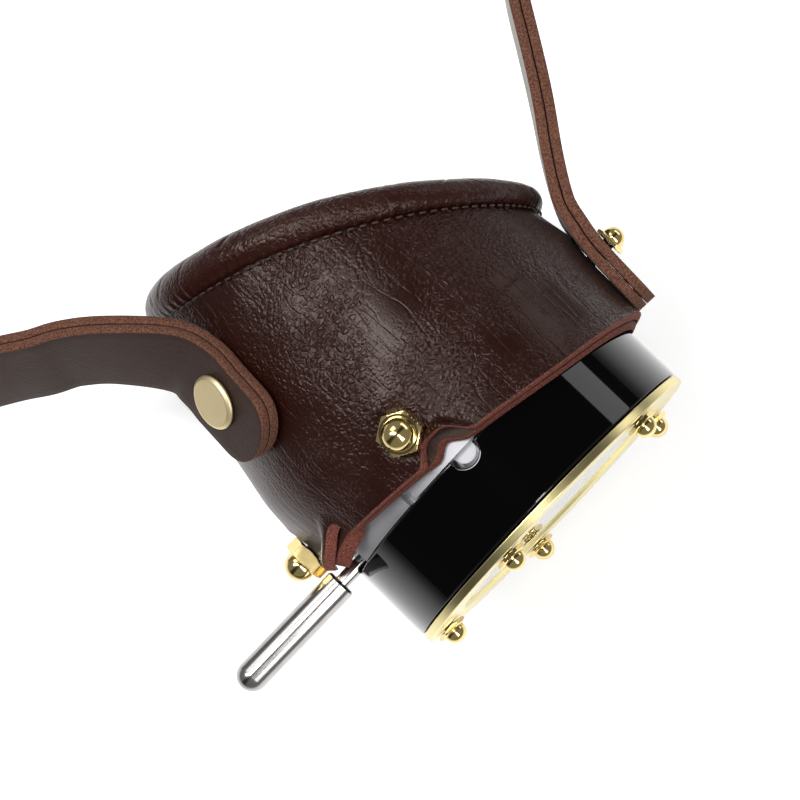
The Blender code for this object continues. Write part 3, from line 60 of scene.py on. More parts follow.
def make_camera():
    """The camera's three axes: right = forward x up, up = right x forward, back = -forward."""
    forward = (CAMERA_AIM - CAMERA_PLACE).normalized()
    right = forward.cross(CAMERA_UP).normalized()
    up = right.cross(forward)
    data = bpy.data.cameras.new("camera")
    data.lens = CAMERA_LENS_MM
    data.sensor_width = 36.0
    camera = bpy.data.objects.new("camera", data)
    turn = Matrix((right, up, -forward)).transposed().to_4x4()
    camera.matrix_world = Matrix.Translation(CAMERA_PLACE) @ turn
    bpy.context.collection.objects.link(camera)
    bpy.context.scene.camera = camera
    return camera


print("camera at", tuple(make_camera().location))

# %% [markdown]
# ## Surfaces from formulas
#
# Each new piece is a grid of points: rows along it and columns round it. Numpy works out all points at once. The
# grid may close on itself like a ring, or end in a point where all columns meet. Points that fall together are
# welded, and the sign of the enclosed volume tells whether the faces point outwards.

# %% Grid helper
WELD = 0.000001


def grid_quads(rows, columns, close_rows):
    """Face corners (i, j), (i + 1, j), (i + 1, j + 1), (i, j + 1). Columns always close into a ring."""
    i = np.arange(rows if close_rows else rows - 1)[:, None]
    j = np.arange(columns)[None, :]
    after_i, after_j = (i + 1) % rows, (j + 1) % columns
    corners = (i * columns + j, after_i * columns + j, after_i * columns + after_j, i * columns + after_j)
    return np.stack(np.broadcast_arrays(*corners), axis=-1).reshape(-1, 4)


def volume_of(points, quads):
    """Enclosed volume: the sum over triangles of a . (b x c) / 6."""
    total = 0.0
    for b, c in ((1, 2), (2, 3)):
        first, second, third = points[quads[:, 0]], points[quads[:, b]], points[quads[:, c]]
        total += np.einsum("ij,ij->", first, np.cross(second, third)) / 6
    return total


def surface(name, *grids, close_rows=False, sharp_deg=40.0, values=None):
    """Makes one mesh object from grids of points, each (rows, columns, 3). Values are kept for each point."""
    all_points, all_quads, start = [], [], 0
    for points in grids:
        flat = points.reshape(-1, 3)
        quads = grid_quads(*points.shape[:2], close_rows)
        if volume_of(flat, quads) < 0:
            quads = quads[:, ::-1]
        all_points.append(flat)
        all_quads.append(quads + start)
        start += len(flat)
    points, quads = np.concatenate(all_points), np.concatenate(all_quads)
    mesh = bpy.data.meshes.new(name)
    mesh.vertices.add(len(points))
    mesh.vertices.foreach_set("co", points.ravel())
    mesh.loops.add(quads.size)
    mesh.loops.foreach_set("vertex_index", quads.ravel())
    mesh.polygons.add(len(quads))
    mesh.polygons.foreach_set("loop_start", np.arange(len(quads)) * 4)
    mesh.update(calc_edges=True)
    for key, value in (values or {}).items():
        kept = mesh.attributes.new(key, "FLOAT", "POINT")
        kept.data.foreach_set("value", np.ascontiguousarray(value, np.float32).ravel())
    bm = bmesh.new()
    bm.from_mesh(mesh)
    bmesh.ops.remove_doubles(bm, verts=bm.verts, dist=WELD)
    bm.to_mesh(mesh)
    bm.free()
    mesh.shade_smooth()
    mesh.set_sharp_from_angle(angle=np.radians(sharp_deg))
    obj = bpy.data.objects.new(name, mesh)
    bpy.context.collection.objects.link(obj)
    return obj


def dress(obj, material, slot, replaced=(), body="monocle"):
    """Gives a piece its material, the parts it stands for and the body it moves with. The slot is not used."""
    obj.data.materials.clear()
    obj.data.materials.append(material)
    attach(obj, body)
    if replaced:
        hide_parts(*replaced)
    print(f"{obj.name}: {len(obj.data.polygons)} faces")
    return obj


# %% Curves that many pieces use
def smooth_step(share):
    """3 s^2 - 2 s^3, level at both ends."""
    share = np.clip(share, 0.0, 1.0)
    return share * share * (3 - 2 * share)


def turn_from(degrees, centre):
    """The shortest way round from the centre angle, -180 to 180 degrees."""
    return (degrees - centre + 180.0) % 360.0 - 180.0


def bell(degrees, centre, spread):
    """exp(-(d / spread)^2), with d the shortest way round from the centre angle."""
    return np.exp(-((turn_from(degrees, centre) / spread) ** 2))


def polar(radius, degrees, y):
    """(r cos a, y, r sin a): a point round the optical axis."""
    angle = np.radians(degrees)
    parts = np.broadcast_arrays(radius * np.cos(angle), y, radius * np.sin(angle))
    return np.stack(parts, axis=-1)


def unit(vectors):
    """The same directions, each of length 1."""
    return vectors / np.linalg.norm(vectors, axis=-1, keepdims=True)


print("smooth_step half way:", float(smooth_step(0.5)), "bell one spread out:", round(float(bell(1.0, 0.0, 1.0)), 3))

# %% [markdown]
# ## Colours and shader nodes
#
# Colours are written as people pick them, in sRGB hex, and one function turns them linear, which is what the
# renderer counts in. One small function adds a shader node. It fills the node's sockets, links those that get
# another node's output, and hands back the new node's own output, so that a finish reads as a list of steps.

# %% Shader helpers
def linear(hex_colour):
    """sRGB to linear: c / 12.92 below 0.04045, ((c + 0.055) / 1.055)^2.4 above."""
    channels = np.array([int(hex_colour[i : i + 2], 16) for i in (0, 2, 4)]) / 255
    low, high = channels / 12.92, ((channels + 0.055) / 1.055) ** 2.4
    return (*np.where(channels <= 0.04045, low, high).tolist(), 1.0)


def fill(tree, node, inputs):
    """Sets inputs by name or number. A socket is linked, a text is a hex colour, and all else is a plain value."""
    for key, value in inputs.items() if isinstance(inputs, dict) else enumerate(inputs):
        in_use = (socket for socket in node.inputs if socket.enabled and socket.name == key)
        socket = node.inputs[key] if isinstance(key, int) else next(in_use)
        if isinstance(value, bpy.types.NodeSocket):
            tree.links.new(value, socket)
        else:
            socket.default_value = linear(value) if isinstance(value, str) else value


def add(tree, kind, inputs=(), take=None, **settings):
    """Adds one node, and returns its output called take, or else its first output in use."""
    node = tree.nodes.new("ShaderNode" + kind)
    for name, value in settings.items():
        setattr(node, name, value)
    fill(tree, node, inputs)
    return node.outputs[take] if take else next(socket for socket in node.outputs if socket.enabled)


def new_material(name):
    """A Principled material of this name: the material, its tree, its shader and the object coordinates."""
    made = bpy.data.materials.new(name)
    made.use_nodes = True
    tree = made.node_tree
    return made, tree, tree.nodes["Principled BSDF"], add(tree, "TexCoord", take="Object")


def per_metre(size_mm):
    """How many pattern cells of this size fit in a metre, which is what a texture's Scale wants."""
    return 1000.0 / size_mm


print("a middle grey, 808080, is", round(linear("808080")[0], 3), "in linear light")

# %% [markdown]
# ## Leather
#
# The cup is glazed cowhide: dark brown, pressed with a pebble grain and polished, so that each pebble catches a
# small highlight. Where it was cut, the raw edge shows red-brown fibres with no shine. The strap is a smoother,
# drier cut of the same hide. The grain is cells with narrow valleys between them, warped so that none is round.
# A hide's pebbles are 0.4 to 0.8 mm wide. Here a cell is 0.85 by 1.25 mm, drawn coarser so that it shows in the
# picture. Creases are 2.4 mm apart and run for about 18 mm. Fibre bundles, 0.1 mm thick in a real hide, are drawn
# at 0.28 mm for the same reason. The unfinished inner side of a strap is painted pale grey: partly its own paler
# colour, partly a painted reflection of the white table. Each point of a leather mesh knows whether it lies on a
# cut edge.

# %% Leather finishes
GRAIN_CELL_MM, GRAIN_STRETCH = 0.85, 0.68
DRIFT_MM, DRIFT_REACH = 3.0, 0.0016
VALLEY_SHARE, GRAIN_DEPTH, GRAIN_STRENGTH = 0.34, 0.0002, 0.9
PORE_MM, PORE_SHARE = 0.35, 0.3
PATCH_MM = 14.0
CREASE_MM, CREASE_RUN, CREASE_BAND, CREASE_HEIGHT = 2.4, 0.13, 0.05, -0.22
FIBRE_MM, FIBRE_ROUGHNESS = 0.28, 0.95
SMOOTH_SIDE_X, GRAINED_SIDE_X, SMOOTH_SIDE_SHARE = -0.03, -0.008, 0.25
WAX_TINT, WAX_SHINE = "f4e4dc", 0.36
NOISE_LOW, NOISE_HIGH = 0.35, 0.65
WORN_LOW, WORN_HIGH, MORE_GLOSS, LESS_GLOSS = 0.3, 0.7, 0.05, 0.07


def leather(name, dark, light, edge_dark, edge_light, gloss, grain, flesh_and_reflection=None):
    """Hide with pressed grain: height = 0.3 pores + pebbles + grain x creases, and only fibres on raw edges.

    A pebble rises with the distance to the nearest cell border. A crease lies where a noise that is drawn out along
    Y passes its middle. The grain is full on the nose side, weak on the temple side, and comes and goes in patches.
    """
    made, tree, shader, place = new_material(name)
    drift = add(tree, "TexNoise", {"Vector": place, "Scale": per_metre(DRIFT_MM), "Detail": 2.0}, take="Color")
    shifted = add(tree, "VectorMath", [drift, (0.5, 0.5, 0.5)], operation="SUBTRACT")
    warp = add(tree, "VectorMath", {0: shifted, "Scale": DRIFT_REACH}, operation="SCALE")
    warped = add(tree, "VectorMath", [place, warp], operation="ADD")
    pulled = add(tree, "Mapping", {"Vector": warped, "Scale": (GRAIN_STRETCH, 1.0, 1.0)})
    cells = {"Vector": pulled, "Scale": per_metre(GRAIN_CELL_MM), "Randomness": 1.0}
    border = add(tree, "TexVoronoi", cells, feature="DISTANCE_TO_EDGE")
    valley = add(tree, "MapRange", {"Value": border, "From Max": VALLEY_SHARE}, interpolation_type="SMOOTHSTEP")
    broad = add(tree, "TexNoise", {"Vector": place, "Scale": per_metre(PATCH_MM), "Detail": 3.0})
    patchy = add(tree, "MapRange", {"Value": broad, "From Min": NOISE_LOW, "From Max": NOISE_HIGH})
    across = add(tree, "SeparateXYZ", [place], take="X")
    sides = {"Value": across, "From Min": SMOOTH_SIDE_X, "From Max": GRAINED_SIDE_X}
    side = add(tree, "MapRange", {**sides, "To Min": grain * SMOOTH_SIDE_SHARE, "To Max": grain})
    amount = add(tree, "Math", [patchy, side], operation="MULTIPLY")
    pebble = add(tree, "Math", [valley, amount], operation="MULTIPLY")
    drawn = add(tree, "Mapping", {"Vector": place, "Scale": (1.0, CREASE_RUN, 1.0)})
    folds = add(tree, "TexNoise", {"Vector": drawn, "Scale": per_metre(CREASE_MM), "Detail": 2.0})
    off = add(tree, "Math", [folds, 0.5], operation="SUBTRACT")
    near = add(tree, "Math", [off], operation="ABSOLUTE")
    groove = {"Value": near, "From Max": CREASE_BAND, "To Min": CREASE_HEIGHT, "To Max": 0.0}
    crease = add(tree, "MapRange", groove, interpolation_type="SMOOTHSTEP")
    creased = add(tree, "Math", [crease, grain, pebble], operation="MULTIPLY_ADD")
    pores = add(tree, "TexNoise", {"Vector": place, "Scale": per_metre(PORE_MM), "Detail": 3.0})
    height = add(tree, "Math", [pores, PORE_SHARE, creased], operation="MULTIPLY_ADD")
    raw = add(tree, "Attribute", take="Fac", attribute_name="raw")
    fibres = add(tree, "TexNoise", {"Vector": place, "Scale": per_metre(FIBRE_MM), "Detail": 4.0})
    felt = add(tree, "Mix", {"Factor": raw, "A": height, "B": fibres}, data_type="FLOAT")
    bump = add(tree, "Bump", {"Height": felt, "Distance": GRAIN_DEPTH, "Strength": GRAIN_STRENGTH})
    face = add(tree, "Mix", {"Factor": broad, "A": dark, "B": light}, data_type="RGBA")
    if flesh_and_reflection is not None:
        # Painted reflection: the pale face colour stands partly for the flesh side's own paler colour and partly for
        # the white table reflected on it.
        inside = add(tree, "Attribute", take="Fac", attribute_name="flesh_and_reflection")
        face = add(tree, "Mix", {"Factor": inside, "A": face, "B": flesh_and_reflection}, data_type="RGBA")
    cut = add(tree, "MapRange", {"Value": fibres, "From Min": NOISE_LOW, "From Max": NOISE_HIGH})
    fibre_tone = add(tree, "Mix", {"Factor": cut, "A": edge_dark, "B": edge_light}, data_type="RGBA")
    colour = add(tree, "Mix", {"Factor": raw, "A": face, "B": fibre_tone}, data_type="RGBA")
    worn = {"Value": broad, "From Min": WORN_LOW, "From Max": WORN_HIGH}
    shine = add(tree, "MapRange", {**worn, "To Min": gloss - MORE_GLOSS, "To Max": gloss + LESS_GLOSS})
    dull = add(tree, "Mix", {"Factor": raw, "A": shine, "B": FIBRE_ROUGHNESS}, data_type="FLOAT")
    fill(tree, shader, {"Base Color": colour, "Roughness": dull, "Normal": bump})
    fill(tree, shader, {"Specular Tint": WAX_TINT, "Specular IOR Level": WAX_SHINE})
    return made


CUP_LEATHER = leather("glazed_cowhide", "190704", "2a0f0a", "4a261e", "864e42", gloss=0.31, grain=0.95)
ROLL_LEATHER = leather("glazed_cowhide_piping", "1c0906", "2f110b", "48231c", "80483d", gloss=0.28, grain=0.45)
LINING_LEATHER = leather("lining_cowhide", "24130f", "331c16", "44211a", "7a4439", gloss=0.5, grain=0.3)
STRAP_LEATHER_FINISH = leather("bridle_leather", "271a16", "352520", "42261f", "76503f", gloss=0.5, grain=0.25)
# Its pale face is partly the flesh side's own colour and partly a painted reflection of the white table.
STRAP_INNER_FINISH = leather(
    "bridle_leather_flesh_side", "271b17", "352722", "42261f", "76503f", gloss=0.6, grain=0.2, flesh_and_reflection="a9a49e"
)
print("leathers:", [m.name for m in bpy.data.materials if "leather" in m.name or "cowhide" in m.name])

# %% [markdown]
# ## Metals and glass
#
# Brass is an alloy of copper and zinc; here it is a pale, zinc-rich one. The bezel was faced on a lathe, which
# leaves fine rings round its axis; the acorn nuts are polished, and the rivet's cap has a satin finish. The barrel
# is aluminium, anodised black and polished, so it is a dark surface under a clear hard skin. The lever is polished
# stainless steel, the housing turned aluminium, and the iris blades are spring steel, blued by heat. Lathe rings
# are 0.02 to 0.1 mm apart on real work, and are drawn at 0.1 to 0.15 mm so that they show.


# %% Metal finishes
SMUDGE_MM, STAIN_MM, SMEAR_MM, DUST_MM = 5.0, 2.5, 9.0, 6.0
SHINE_SPREAD, BUFF_SPREAD, RING_STRENGTH = 0.05, 0.04, 0.5
COAT_ROUGHNESS, CROWN_GLASS_IOR, HAZE = 0.03, 1.52, 0.03


def turned_metal(name, colour, roughness, ring_mm, ring_depth):
    """Lathe-faced metal: rings whose phase is the distance from the optical axis, sqrt(x^2 + z^2)."""
    made, tree, shader, place = new_material(name)
    flat = add(tree, "VectorMath", [place, (1.0, 0.0, 1.0)], operation="MULTIPLY")
    radius = add(tree, "VectorMath", [flat], operation="LENGTH")
    line = add(tree, "CombineXYZ", {"X": radius, "Y": add(tree, "SeparateXYZ", [place], take="Y")})
    rings = add(tree, "TexNoise", {"Vector": line, "Scale": per_metre(ring_mm), "Detail": 2.0})
    smudge = add(tree, "TexNoise", {"Vector": place, "Scale": per_metre(SMUDGE_MM), "Detail": 3.0})
    low, high = roughness - SHINE_SPREAD, roughness + SHINE_SPREAD
    shine = add(tree, "MapRange", {"Value": smudge, "To Min": low, "To Max": high})
    bump = add(tree, "Bump", {"Height": rings, "Distance": ring_depth, "Strength": RING_STRENGTH})
    fill(tree, shader, {"Base Color": colour, "Metallic": 1.0, "Roughness": shine, "Normal": bump})
    return made


def rubbed(name, dark, light, roughness, metallic=1.0):
    """Buffed metal, or a rubbed plain surface: faint stains in the colour, faint smears in the shine."""
    made, tree, shader, place = new_material(name)
    stain = add(tree, "TexNoise", {"Vector": place, "Scale": per_metre(STAIN_MM), "Detail": 4.0})
    tone = add(tree, "Mix", {"Factor": stain, "A": dark, "B": light}, data_type="RGBA")
    low, high = roughness - BUFF_SPREAD, roughness + BUFF_SPREAD
    shine = add(tree, "MapRange", {"Value": stain, "To Min": high, "To Max": low})
    fill(tree, shader, {"Base Color": tone, "Metallic": metallic, "Roughness": shine})
    return made


def anodised(name, colour, roughness, coat):
    """Dyed oxide on aluminium: a dark, barely reflecting body under a clear hard coat, with handling smears."""
    made, tree, shader, place = new_material(name)
    smear = add(tree, "TexNoise", {"Vector": place, "Scale": per_metre(SMEAR_MM), "Detail": 4.0})
    shine = add(tree, "MapRange", {"Value": smear, "To Min": roughness * 0.7, "To Max": roughness * 1.3})
    fill(tree, shader, {"Base Color": colour, "Roughness": shine, "Specular IOR Level": 0.5 * (1 - coat)})
    fill(tree, shader, {"Coat Weight": coat, "Coat Roughness": COAT_ROUGHNESS})
    return made


def glass(name):
    """Crown glass, polished: light passes, and only the surface reflects. Dust gives it a trace of haze."""
    made, tree, shader, place = new_material(name)
    dust = add(tree, "TexNoise", {"Vector": place, "Scale": per_metre(DUST_MM), "Detail": 5.0})
    haze = add(tree, "MapRange", {"Value": dust, "To Min": 0.0, "To Max": HAZE})
    fill(tree, shader, {"Base Color": "f6faf8", "Roughness": haze})
    fill(tree, shader, {"Transmission Weight": 1.0, "IOR": CROWN_GLASS_IOR})
    return made


BEZEL_BRASS = turned_metal("faced_pale_brass", "e4d69c", 0.3, ring_mm=0.12, ring_depth=0.00001)
NUT_BRASS = rubbed("polished_brass", "e0c47c", "f2dda2", 0.13)
CAP_BRASS = rubbed("satin_brass_cap", "f0dca8", "f8e8c0", 0.5)
BLACK_BARREL = anodised("black_anodised_aluminium", "030303", 0.08, coat=0.85)
# This black also serves as painted shade inside the housing.
BLACK_CAM_AND_SHADE = anodised("black_anodised_cam_and_painted_shade", "0b0b0c", 0.35, coat=0.2)
HOUSING_METAL = turned_metal("turned_aluminium", "c8c8cc", 0.58, ring_mm=0.15, ring_depth=0.00001)
LEVER_STEEL = rubbed("polished_stainless_steel", "aaa6a4", "c0bcba", 0.2)
SCREW_STEEL = rubbed("zinc_plated_steel", "9a9c9f", "b4b6b8", 0.3)
BLADE_STEEL = turned_metal("blued_spring_steel", "30323c", 0.3, ring_mm=0.1, ring_depth=0.000006)
LENS_GLASS = glass("crown_glass")
print("materials:", len(bpy.data.materials))

# %% [markdown]
# ## Turned metal
#
# Anything made on a lathe is a profile spun round an axis. A real edge is never sharp: it is eased by a file or a
# chamfer, and that thin band is what catches the light. So each corner of a profile becomes a short parabola, with
# one more point on each side of it, which keeps the flats flat when the shading is smoothed.


# %% Profiles and spinning
EASE_MOST_SHARE, SUPPORT_SHARE, SUPPORT_LEAST_SHARE = 0.45, 0.25, 0.1


def eased(corners, size, closed=True, steps=4):
    """Rounds each corner C: A (1-t)^2 + 2 C t (1-t) + B t^2, from A, a size before it, to B, as far after it."""
    corners = np.array(corners, float)
    count = len(corners)
    t = np.linspace(0, 1, steps + 1)[:, None]
    line = []
    for i, corner in enumerate(corners):
        if not closed and i in (0, count - 1):
            line.append(corner[None])
            continue
        before, after = corners[i - 1] - corner, corners[(i + 1) % count] - corner
        room = min(np.linalg.norm(before), np.linalg.norm(after)) * EASE_MOST_SHARE
        reach = min(size, room)
        start, end = corner + unit(before) * reach, corner + unit(after) * reach
        support = min(reach * SUPPORT_SHARE, room - reach + reach * SUPPORT_LEAST_SHARE)
        line.append((start + unit(before) * support)[None])
        line.append(start * (1 - t) ** 2 + 2 * corner * t * (1 - t) + end * t * t)
        line.append((end + unit(after) * support)[None])
    return np.concatenate(line)


OPTICAL_BENCH = [np.array(v, float) for v in ((0, 0, 0), (1, 0, 0), (0, 0, 1), (0, 1, 0))]


def bench(origin, axis):
    """Where a piece is spun: its origin, two directions across its axis, and the axis."""
    turn = np.array(Vector(axis).to_track_quat("Z", "Y").to_matrix())
    return [np.array(origin, float), turn[:, 0], turn[:, 1], turn[:, 2]]


def spun(radius, height, degrees, place=OPTICAL_BENCH):
    """origin + axis h + (side cos a + up sin a) r, for each profile row and each angle."""
    origin, side, up, axis = place
    angle = np.radians(degrees)[None, :, None]
    around = side * np.cos(angle) + up * np.sin(angle)
    radius, height = np.broadcast_arrays(np.atleast_2d(radius), np.atleast_2d(height))
    return origin + axis * height[..., None] + around * radius[..., None]


def rod(radius, start, end):
    """The profile of a plain rod or disc: its four corners, each (radius, height)."""
    return [(0, start), (radius, start), (radius, end), (0, end)]


def even_degrees(count):
    """Angles spread evenly round a full turn: 360 i / count."""
    return np.arange(count) * 360.0 / count


def turned(name, corners, ease, place=OPTICAL_BENCH, closed=True, count=96, sharp_deg=40.0):
    """A turned piece from the corners of its profile, each (radius, height)."""
    profile = eased(corners, ease, closed)
    points = spun(profile[:, :1], profile[:, 1:], even_degrees(count), place)
    return surface(name, points, close_rows=closed, sharp_deg=sharp_deg)


print("a square rod's profile of 4 corners is eased to", len(eased(rod(1.0, 0.0, 1.0), 0.1)), "points")

# %% [markdown]
# ## Bezel, lens and barrel
#
# The bezel is a flat ring 1.5 mm thick with a bevel towards the glass. The lens lies in its bore, 0.5 mm back. The
# barrel is a tube with half-round notches in its rear edge, so it is worked out as a ring whose rear edge moves
# forward by sqrt(R^2 - s^2) wherever s, the distance from a notch's middle, is less than its radius R. R is
# smaller at the bore than outside, so that the walls of a notch slope, as they do on the real one.

# %% Bezel and lens
LENS_RADIUS, LENS_THICKNESS = 0.0217, 0.001
BEZEL_BORE_RADIUS, BEZEL_FRONT_Y, BEZEL_BACK_Y, BEZEL_BEVEL = 0.022, -0.0005, 0.001, 0.0007
BARREL_RADIUS, BARREL_BORE_RADIUS = 0.031, 0.0289
BARREL_FRONT_Y, BARREL_BACK_Y, FLANGE_BACK_Y, FLANGE_LIP_RADIUS = 0.0013, 0.0161, 0.0038, 0.0206
EDGE_EASE = 0.00018

bezel_corners = [
    (BEZEL_BORE_RADIUS + BEZEL_BEVEL, BEZEL_FRONT_Y),
    (BARREL_RADIUS, BEZEL_FRONT_Y),
    (BARREL_RADIUS, BEZEL_BACK_Y),
    (BEZEL_BORE_RADIUS, BEZEL_BACK_Y),
    (BEZEL_BORE_RADIUS, BEZEL_FRONT_Y + BEZEL_BEVEL),
]
bezel = turned("bezel_faced", bezel_corners, EDGE_EASE, count=192)
dress(bezel, BEZEL_BRASS, "polished_brass", ["bezel_ring"])

lens = turned("lens_ground", rod(LENS_RADIUS, 0, LENS_THICKNESS), EDGE_EASE / 2, closed=False, count=128)
dress(lens, LENS_GLASS, "clear_glass", ["lens"])

# %% Barrel
NOTCH_RADIUS, NOTCH_BORE_RADIUS = 0.0029, 0.0022
NOTCH_DEGREES = (17.0, 47.5, 97.0, 263.0, 312.5, 343.0)
BARREL_EASE, EASE_MIDDLE_SHARE = 0.0002, 0.3
WALL_SHARES_ALONG = (0.02, 0.15, 0.3, 0.45, 0.6, 0.75, 0.9, 0.98)
BORE_SHARES_ALONG = (0.1, 0.4, 0.7, 0.98)
STRAIGHT_STEP_DEG, ARC_POINTS, ARC_MARGIN_DEG = 1.5, 33, 0.1


def notched_degrees():
    """Even angles where the edge is straight, and angles even along the arc inside each notch."""
    straight = np.arange(0.0, 360.0, STRAIGHT_STEP_DEG)
    half_turn = np.linspace(-np.pi / 2, np.pi / 2, ARC_POINTS)
    arc = np.degrees(np.arcsin(NOTCH_RADIUS / BARREL_RADIUS * np.sin(half_turn)))
    for centre in NOTCH_DEGREES:
        straight = straight[np.abs(straight - centre) > arc[-1] + ARC_MARGIN_DEG]
    return np.sort(np.concatenate([straight] + [centre + arc for centre in NOTCH_DEGREES]))


def barrel_back(degrees, notch):
    """The rear edge's place: BARREL_BACK_Y less sqrt(R^2 - s^2) inside a notch of this radius."""
    back = np.full(len(degrees), BARREL_BACK_Y)
    for centre in NOTCH_DEGREES:
        away = BARREL_RADIUS * np.sin(np.radians(degrees - centre))
        inside = np.abs(degrees - centre) < 90
        back -= np.where(inside, np.sqrt(np.clip(notch**2 - away**2, 0, None)), 0)
    return back


def barrel_points():
    """A closed profile at each angle: out along the tube, round the rear edge, back along the bore and flange."""
    degrees = notched_degrees()
    back, bore_back = (barrel_back(degrees, notch)[None, :] for notch in (NOTCH_RADIUS, NOTCH_BORE_RADIUS))
    ease, part, front_y, tube = BARREL_EASE, BARREL_EASE * EASE_MIDDLE_SHARE, BARREL_FRONT_Y, BARREL_RADIUS
    front = [(tube - ease, front_y), (tube - part, front_y + part), (tube, front_y + ease)]
    wall = [(tube, front_y + ease + (back - front_y - 2 * ease) * s) for s in WALL_SHARES_ALONG]
    rim = [(tube, back - ease), (tube - part, back - part), (tube - ease, back)]
    rim += [(BARREL_BORE_RADIUS + ease, bore_back), (BARREL_BORE_RADIUS, bore_back - ease)]
    bore = [(BARREL_BORE_RADIUS, bore_back + (FLANGE_BACK_Y - bore_back) * s) for s in BORE_SHARES_ALONG]
    flange = [(BARREL_BORE_RADIUS, FLANGE_BACK_Y), (FLANGE_LIP_RADIUS, FLANGE_BACK_Y), (FLANGE_LIP_RADIUS, front_y)]
    ring = front + wall + rim + bore + flange
    radius = np.array([[row_radius] for row_radius, _ in ring])
    height = np.concatenate([np.broadcast_to(y, back.shape) for _, y in ring])
    return spun(radius, height, degrees)


barrel = surface("barrel_tube", barrel_points(), close_rows=True, sharp_deg=50.0)
dress(barrel, BLACK_BARREL, "black_anodised", ["barrel"])

# %% [markdown]
# ## Acorn nuts
#
# An acorn nut is a hexagon bar turned on a lathe: the cutter's cone takes the corners off, which leaves a curved
# edge on each flat, and the blind end is domed. So its radius at each angle is the smaller one of the hexagon,
# apothem / cos(angle from the nearest flat), and the cone at that height.

# %% Acorn nuts
BOLT_CIRCLE_RADIUS, BOLT_COUNT, FIRST_BOLT_DEG = 0.027, 5, 41.0
NUT_SEAT_Y = -0.0008
SCREW_Y = 0.025
CUP_NUT_DEGREES = (104.0, 180.0, 255.0)
CUP_NUT_SEAT_RADIUS = 0.0339
STRAP_NUT_DEG = 3.0
NUT_CHAMFER_SHARE, NUT_SEAT_SHARE, NUT_TOP_SHARE = 0.16, 0.97, 0.95
NECK_SHARE, NECK_FOOT_SHARE, NECK_RISE_SHARE, DOME_RISE_SHARE = 0.985, 1.08, 0.04, 0.14


def nut_profile(flats, hex_height, dome_radius):
    """Rows of (height, cone radius) for bottom, chamfers, flats, top, neck and dome, and the hexagon's apothem."""
    apothem, corner = flats / 2, flats / np.sqrt(3)
    chamfer, neck = corner * NUT_CHAMFER_SHARE / 2, dome_radius * NECK_SHARE
    seat, top = apothem * NUT_SEAT_SHARE, apothem * NUT_TOP_SHARE
    t = np.linspace(0, 1, 6)
    low = [(chamfer * s, seat + (corner - seat) * s) for s in t]
    high = [(hex_height - chamfer * (1 - s), corner - (corner - top) * s) for s in t]
    foot = [(hex_height, neck * NECK_FOOT_SHARE), (hex_height + dome_radius * NECK_RISE_SHARE, neck)]
    angle = np.linspace(0, np.pi / 2, 20)
    centre = hex_height + dome_radius * DOME_RISE_SHARE
    dome = [(centre + dome_radius * np.sin(a), dome_radius * np.cos(a)) for a in angle]
    rows = [(0.0, 0.0)] + low + high + foot + dome
    return np.array(rows), apothem


def nut_points(flats, hex_height, dome_radius, place):
    """The smaller of hexagon and cone at each height and angle, spun on its bench."""
    degrees = even_degrees(96)
    rows, apothem = nut_profile(flats, hex_height, dome_radius)
    from_flat = (degrees % 60.0) - 30.0
    hexagon = apothem / np.cos(np.radians(from_flat))
    radius = np.minimum(rows[:, 1:], hexagon[None, :])
    return spun(radius, rows[:, :1], degrees, place)


def acorn_nut(name, size, place, node):
    """One nut on its bench, in place of its node; its size is (across flats, hexagon height, dome radius)."""
    obj = surface(name, nut_points(*size, place), sharp_deg=24.0)
    return dress(obj, NUT_BRASS, "polished_brass", [node])


SMALL_NUT, CUP_NUT = (0.005, 0.0009, 0.002), (0.007, 0.0028, 0.0028)
for i in range(BOLT_COUNT):
    seat = polar(BOLT_CIRCLE_RADIUS, FIRST_BOLT_DEG + 360.0 * i / BOLT_COUNT, NUT_SEAT_Y)
    acorn_nut(f"acorn_nut_bezel_{i + 1}", SMALL_NUT, bench(seat, (0, -1, 0)), f"bezel_nut_{i + 1}")
for i, degrees in enumerate(CUP_NUT_DEGREES, 1):
    seat, out = polar(CUP_NUT_SEAT_RADIUS, degrees, SCREW_Y), polar(1.0, degrees, 0.0)
    acorn_nut(f"acorn_nut_cup_{i}", CUP_NUT, bench(seat, out), f"cup_nut_{i}")

# %% [markdown]
# ## Lever
#
# The grip is a stainless rod with a ball end and a chamfered shoulder, drilled to take the thin neck that comes out
# of the housing's window. Both turn with the cam ring.

# %% Lever
LEVER_Y = 0.0178
STEM_RADIUS, STEM_START, STEM_END = 0.00135, 0.0245, 0.0459
HANDLE_RADIUS, HANDLE_START, HANDLE_END, HANDLE_BORE_END = 0.0028, 0.0342, 0.0592, 0.0462
SHOULDER_BEVEL, DRILL_SPARE, STEEL_EASE = 0.0004, 0.00015, 0.0002

lever_bench = bench((0.0, LEVER_Y, 0.0), (-1, 0, 0))
stem = turned("lever_neck", rod(STEM_RADIUS, STEM_START, STEM_END), STEEL_EASE, lever_bench, closed=False, count=48)
dress(stem, LEVER_STEEL, "polished_steel", ["lever_stem"], "iris_ring")

bore = STEM_RADIUS + DRILL_SPARE
shoulder = [(0, HANDLE_BORE_END), (bore, HANDLE_BORE_END), (bore, HANDLE_START)]
shoulder += [(HANDLE_RADIUS - SHOULDER_BEVEL, HANDLE_START), (HANDLE_RADIUS, HANDLE_START + SHOULDER_BEVEL)]
quarter = np.linspace(0, np.pi / 2, 16)
ball = [(HANDLE_RADIUS * np.cos(a), HANDLE_END - HANDLE_RADIUS * (1 - np.sin(a))) for a in quarter]
grip_profile = np.concatenate([eased(shoulder + [ball[0]], STEEL_EASE / 2, closed=False), ball])
grip_points = spun(grip_profile[:, :1], grip_profile[:, 1:], even_degrees(72), lever_bench)
grip = surface("lever_grip", grip_points, sharp_deg=30.0)
dress(grip, LEVER_STEEL, "polished_steel", ["lever_handle"], "iris_ring")
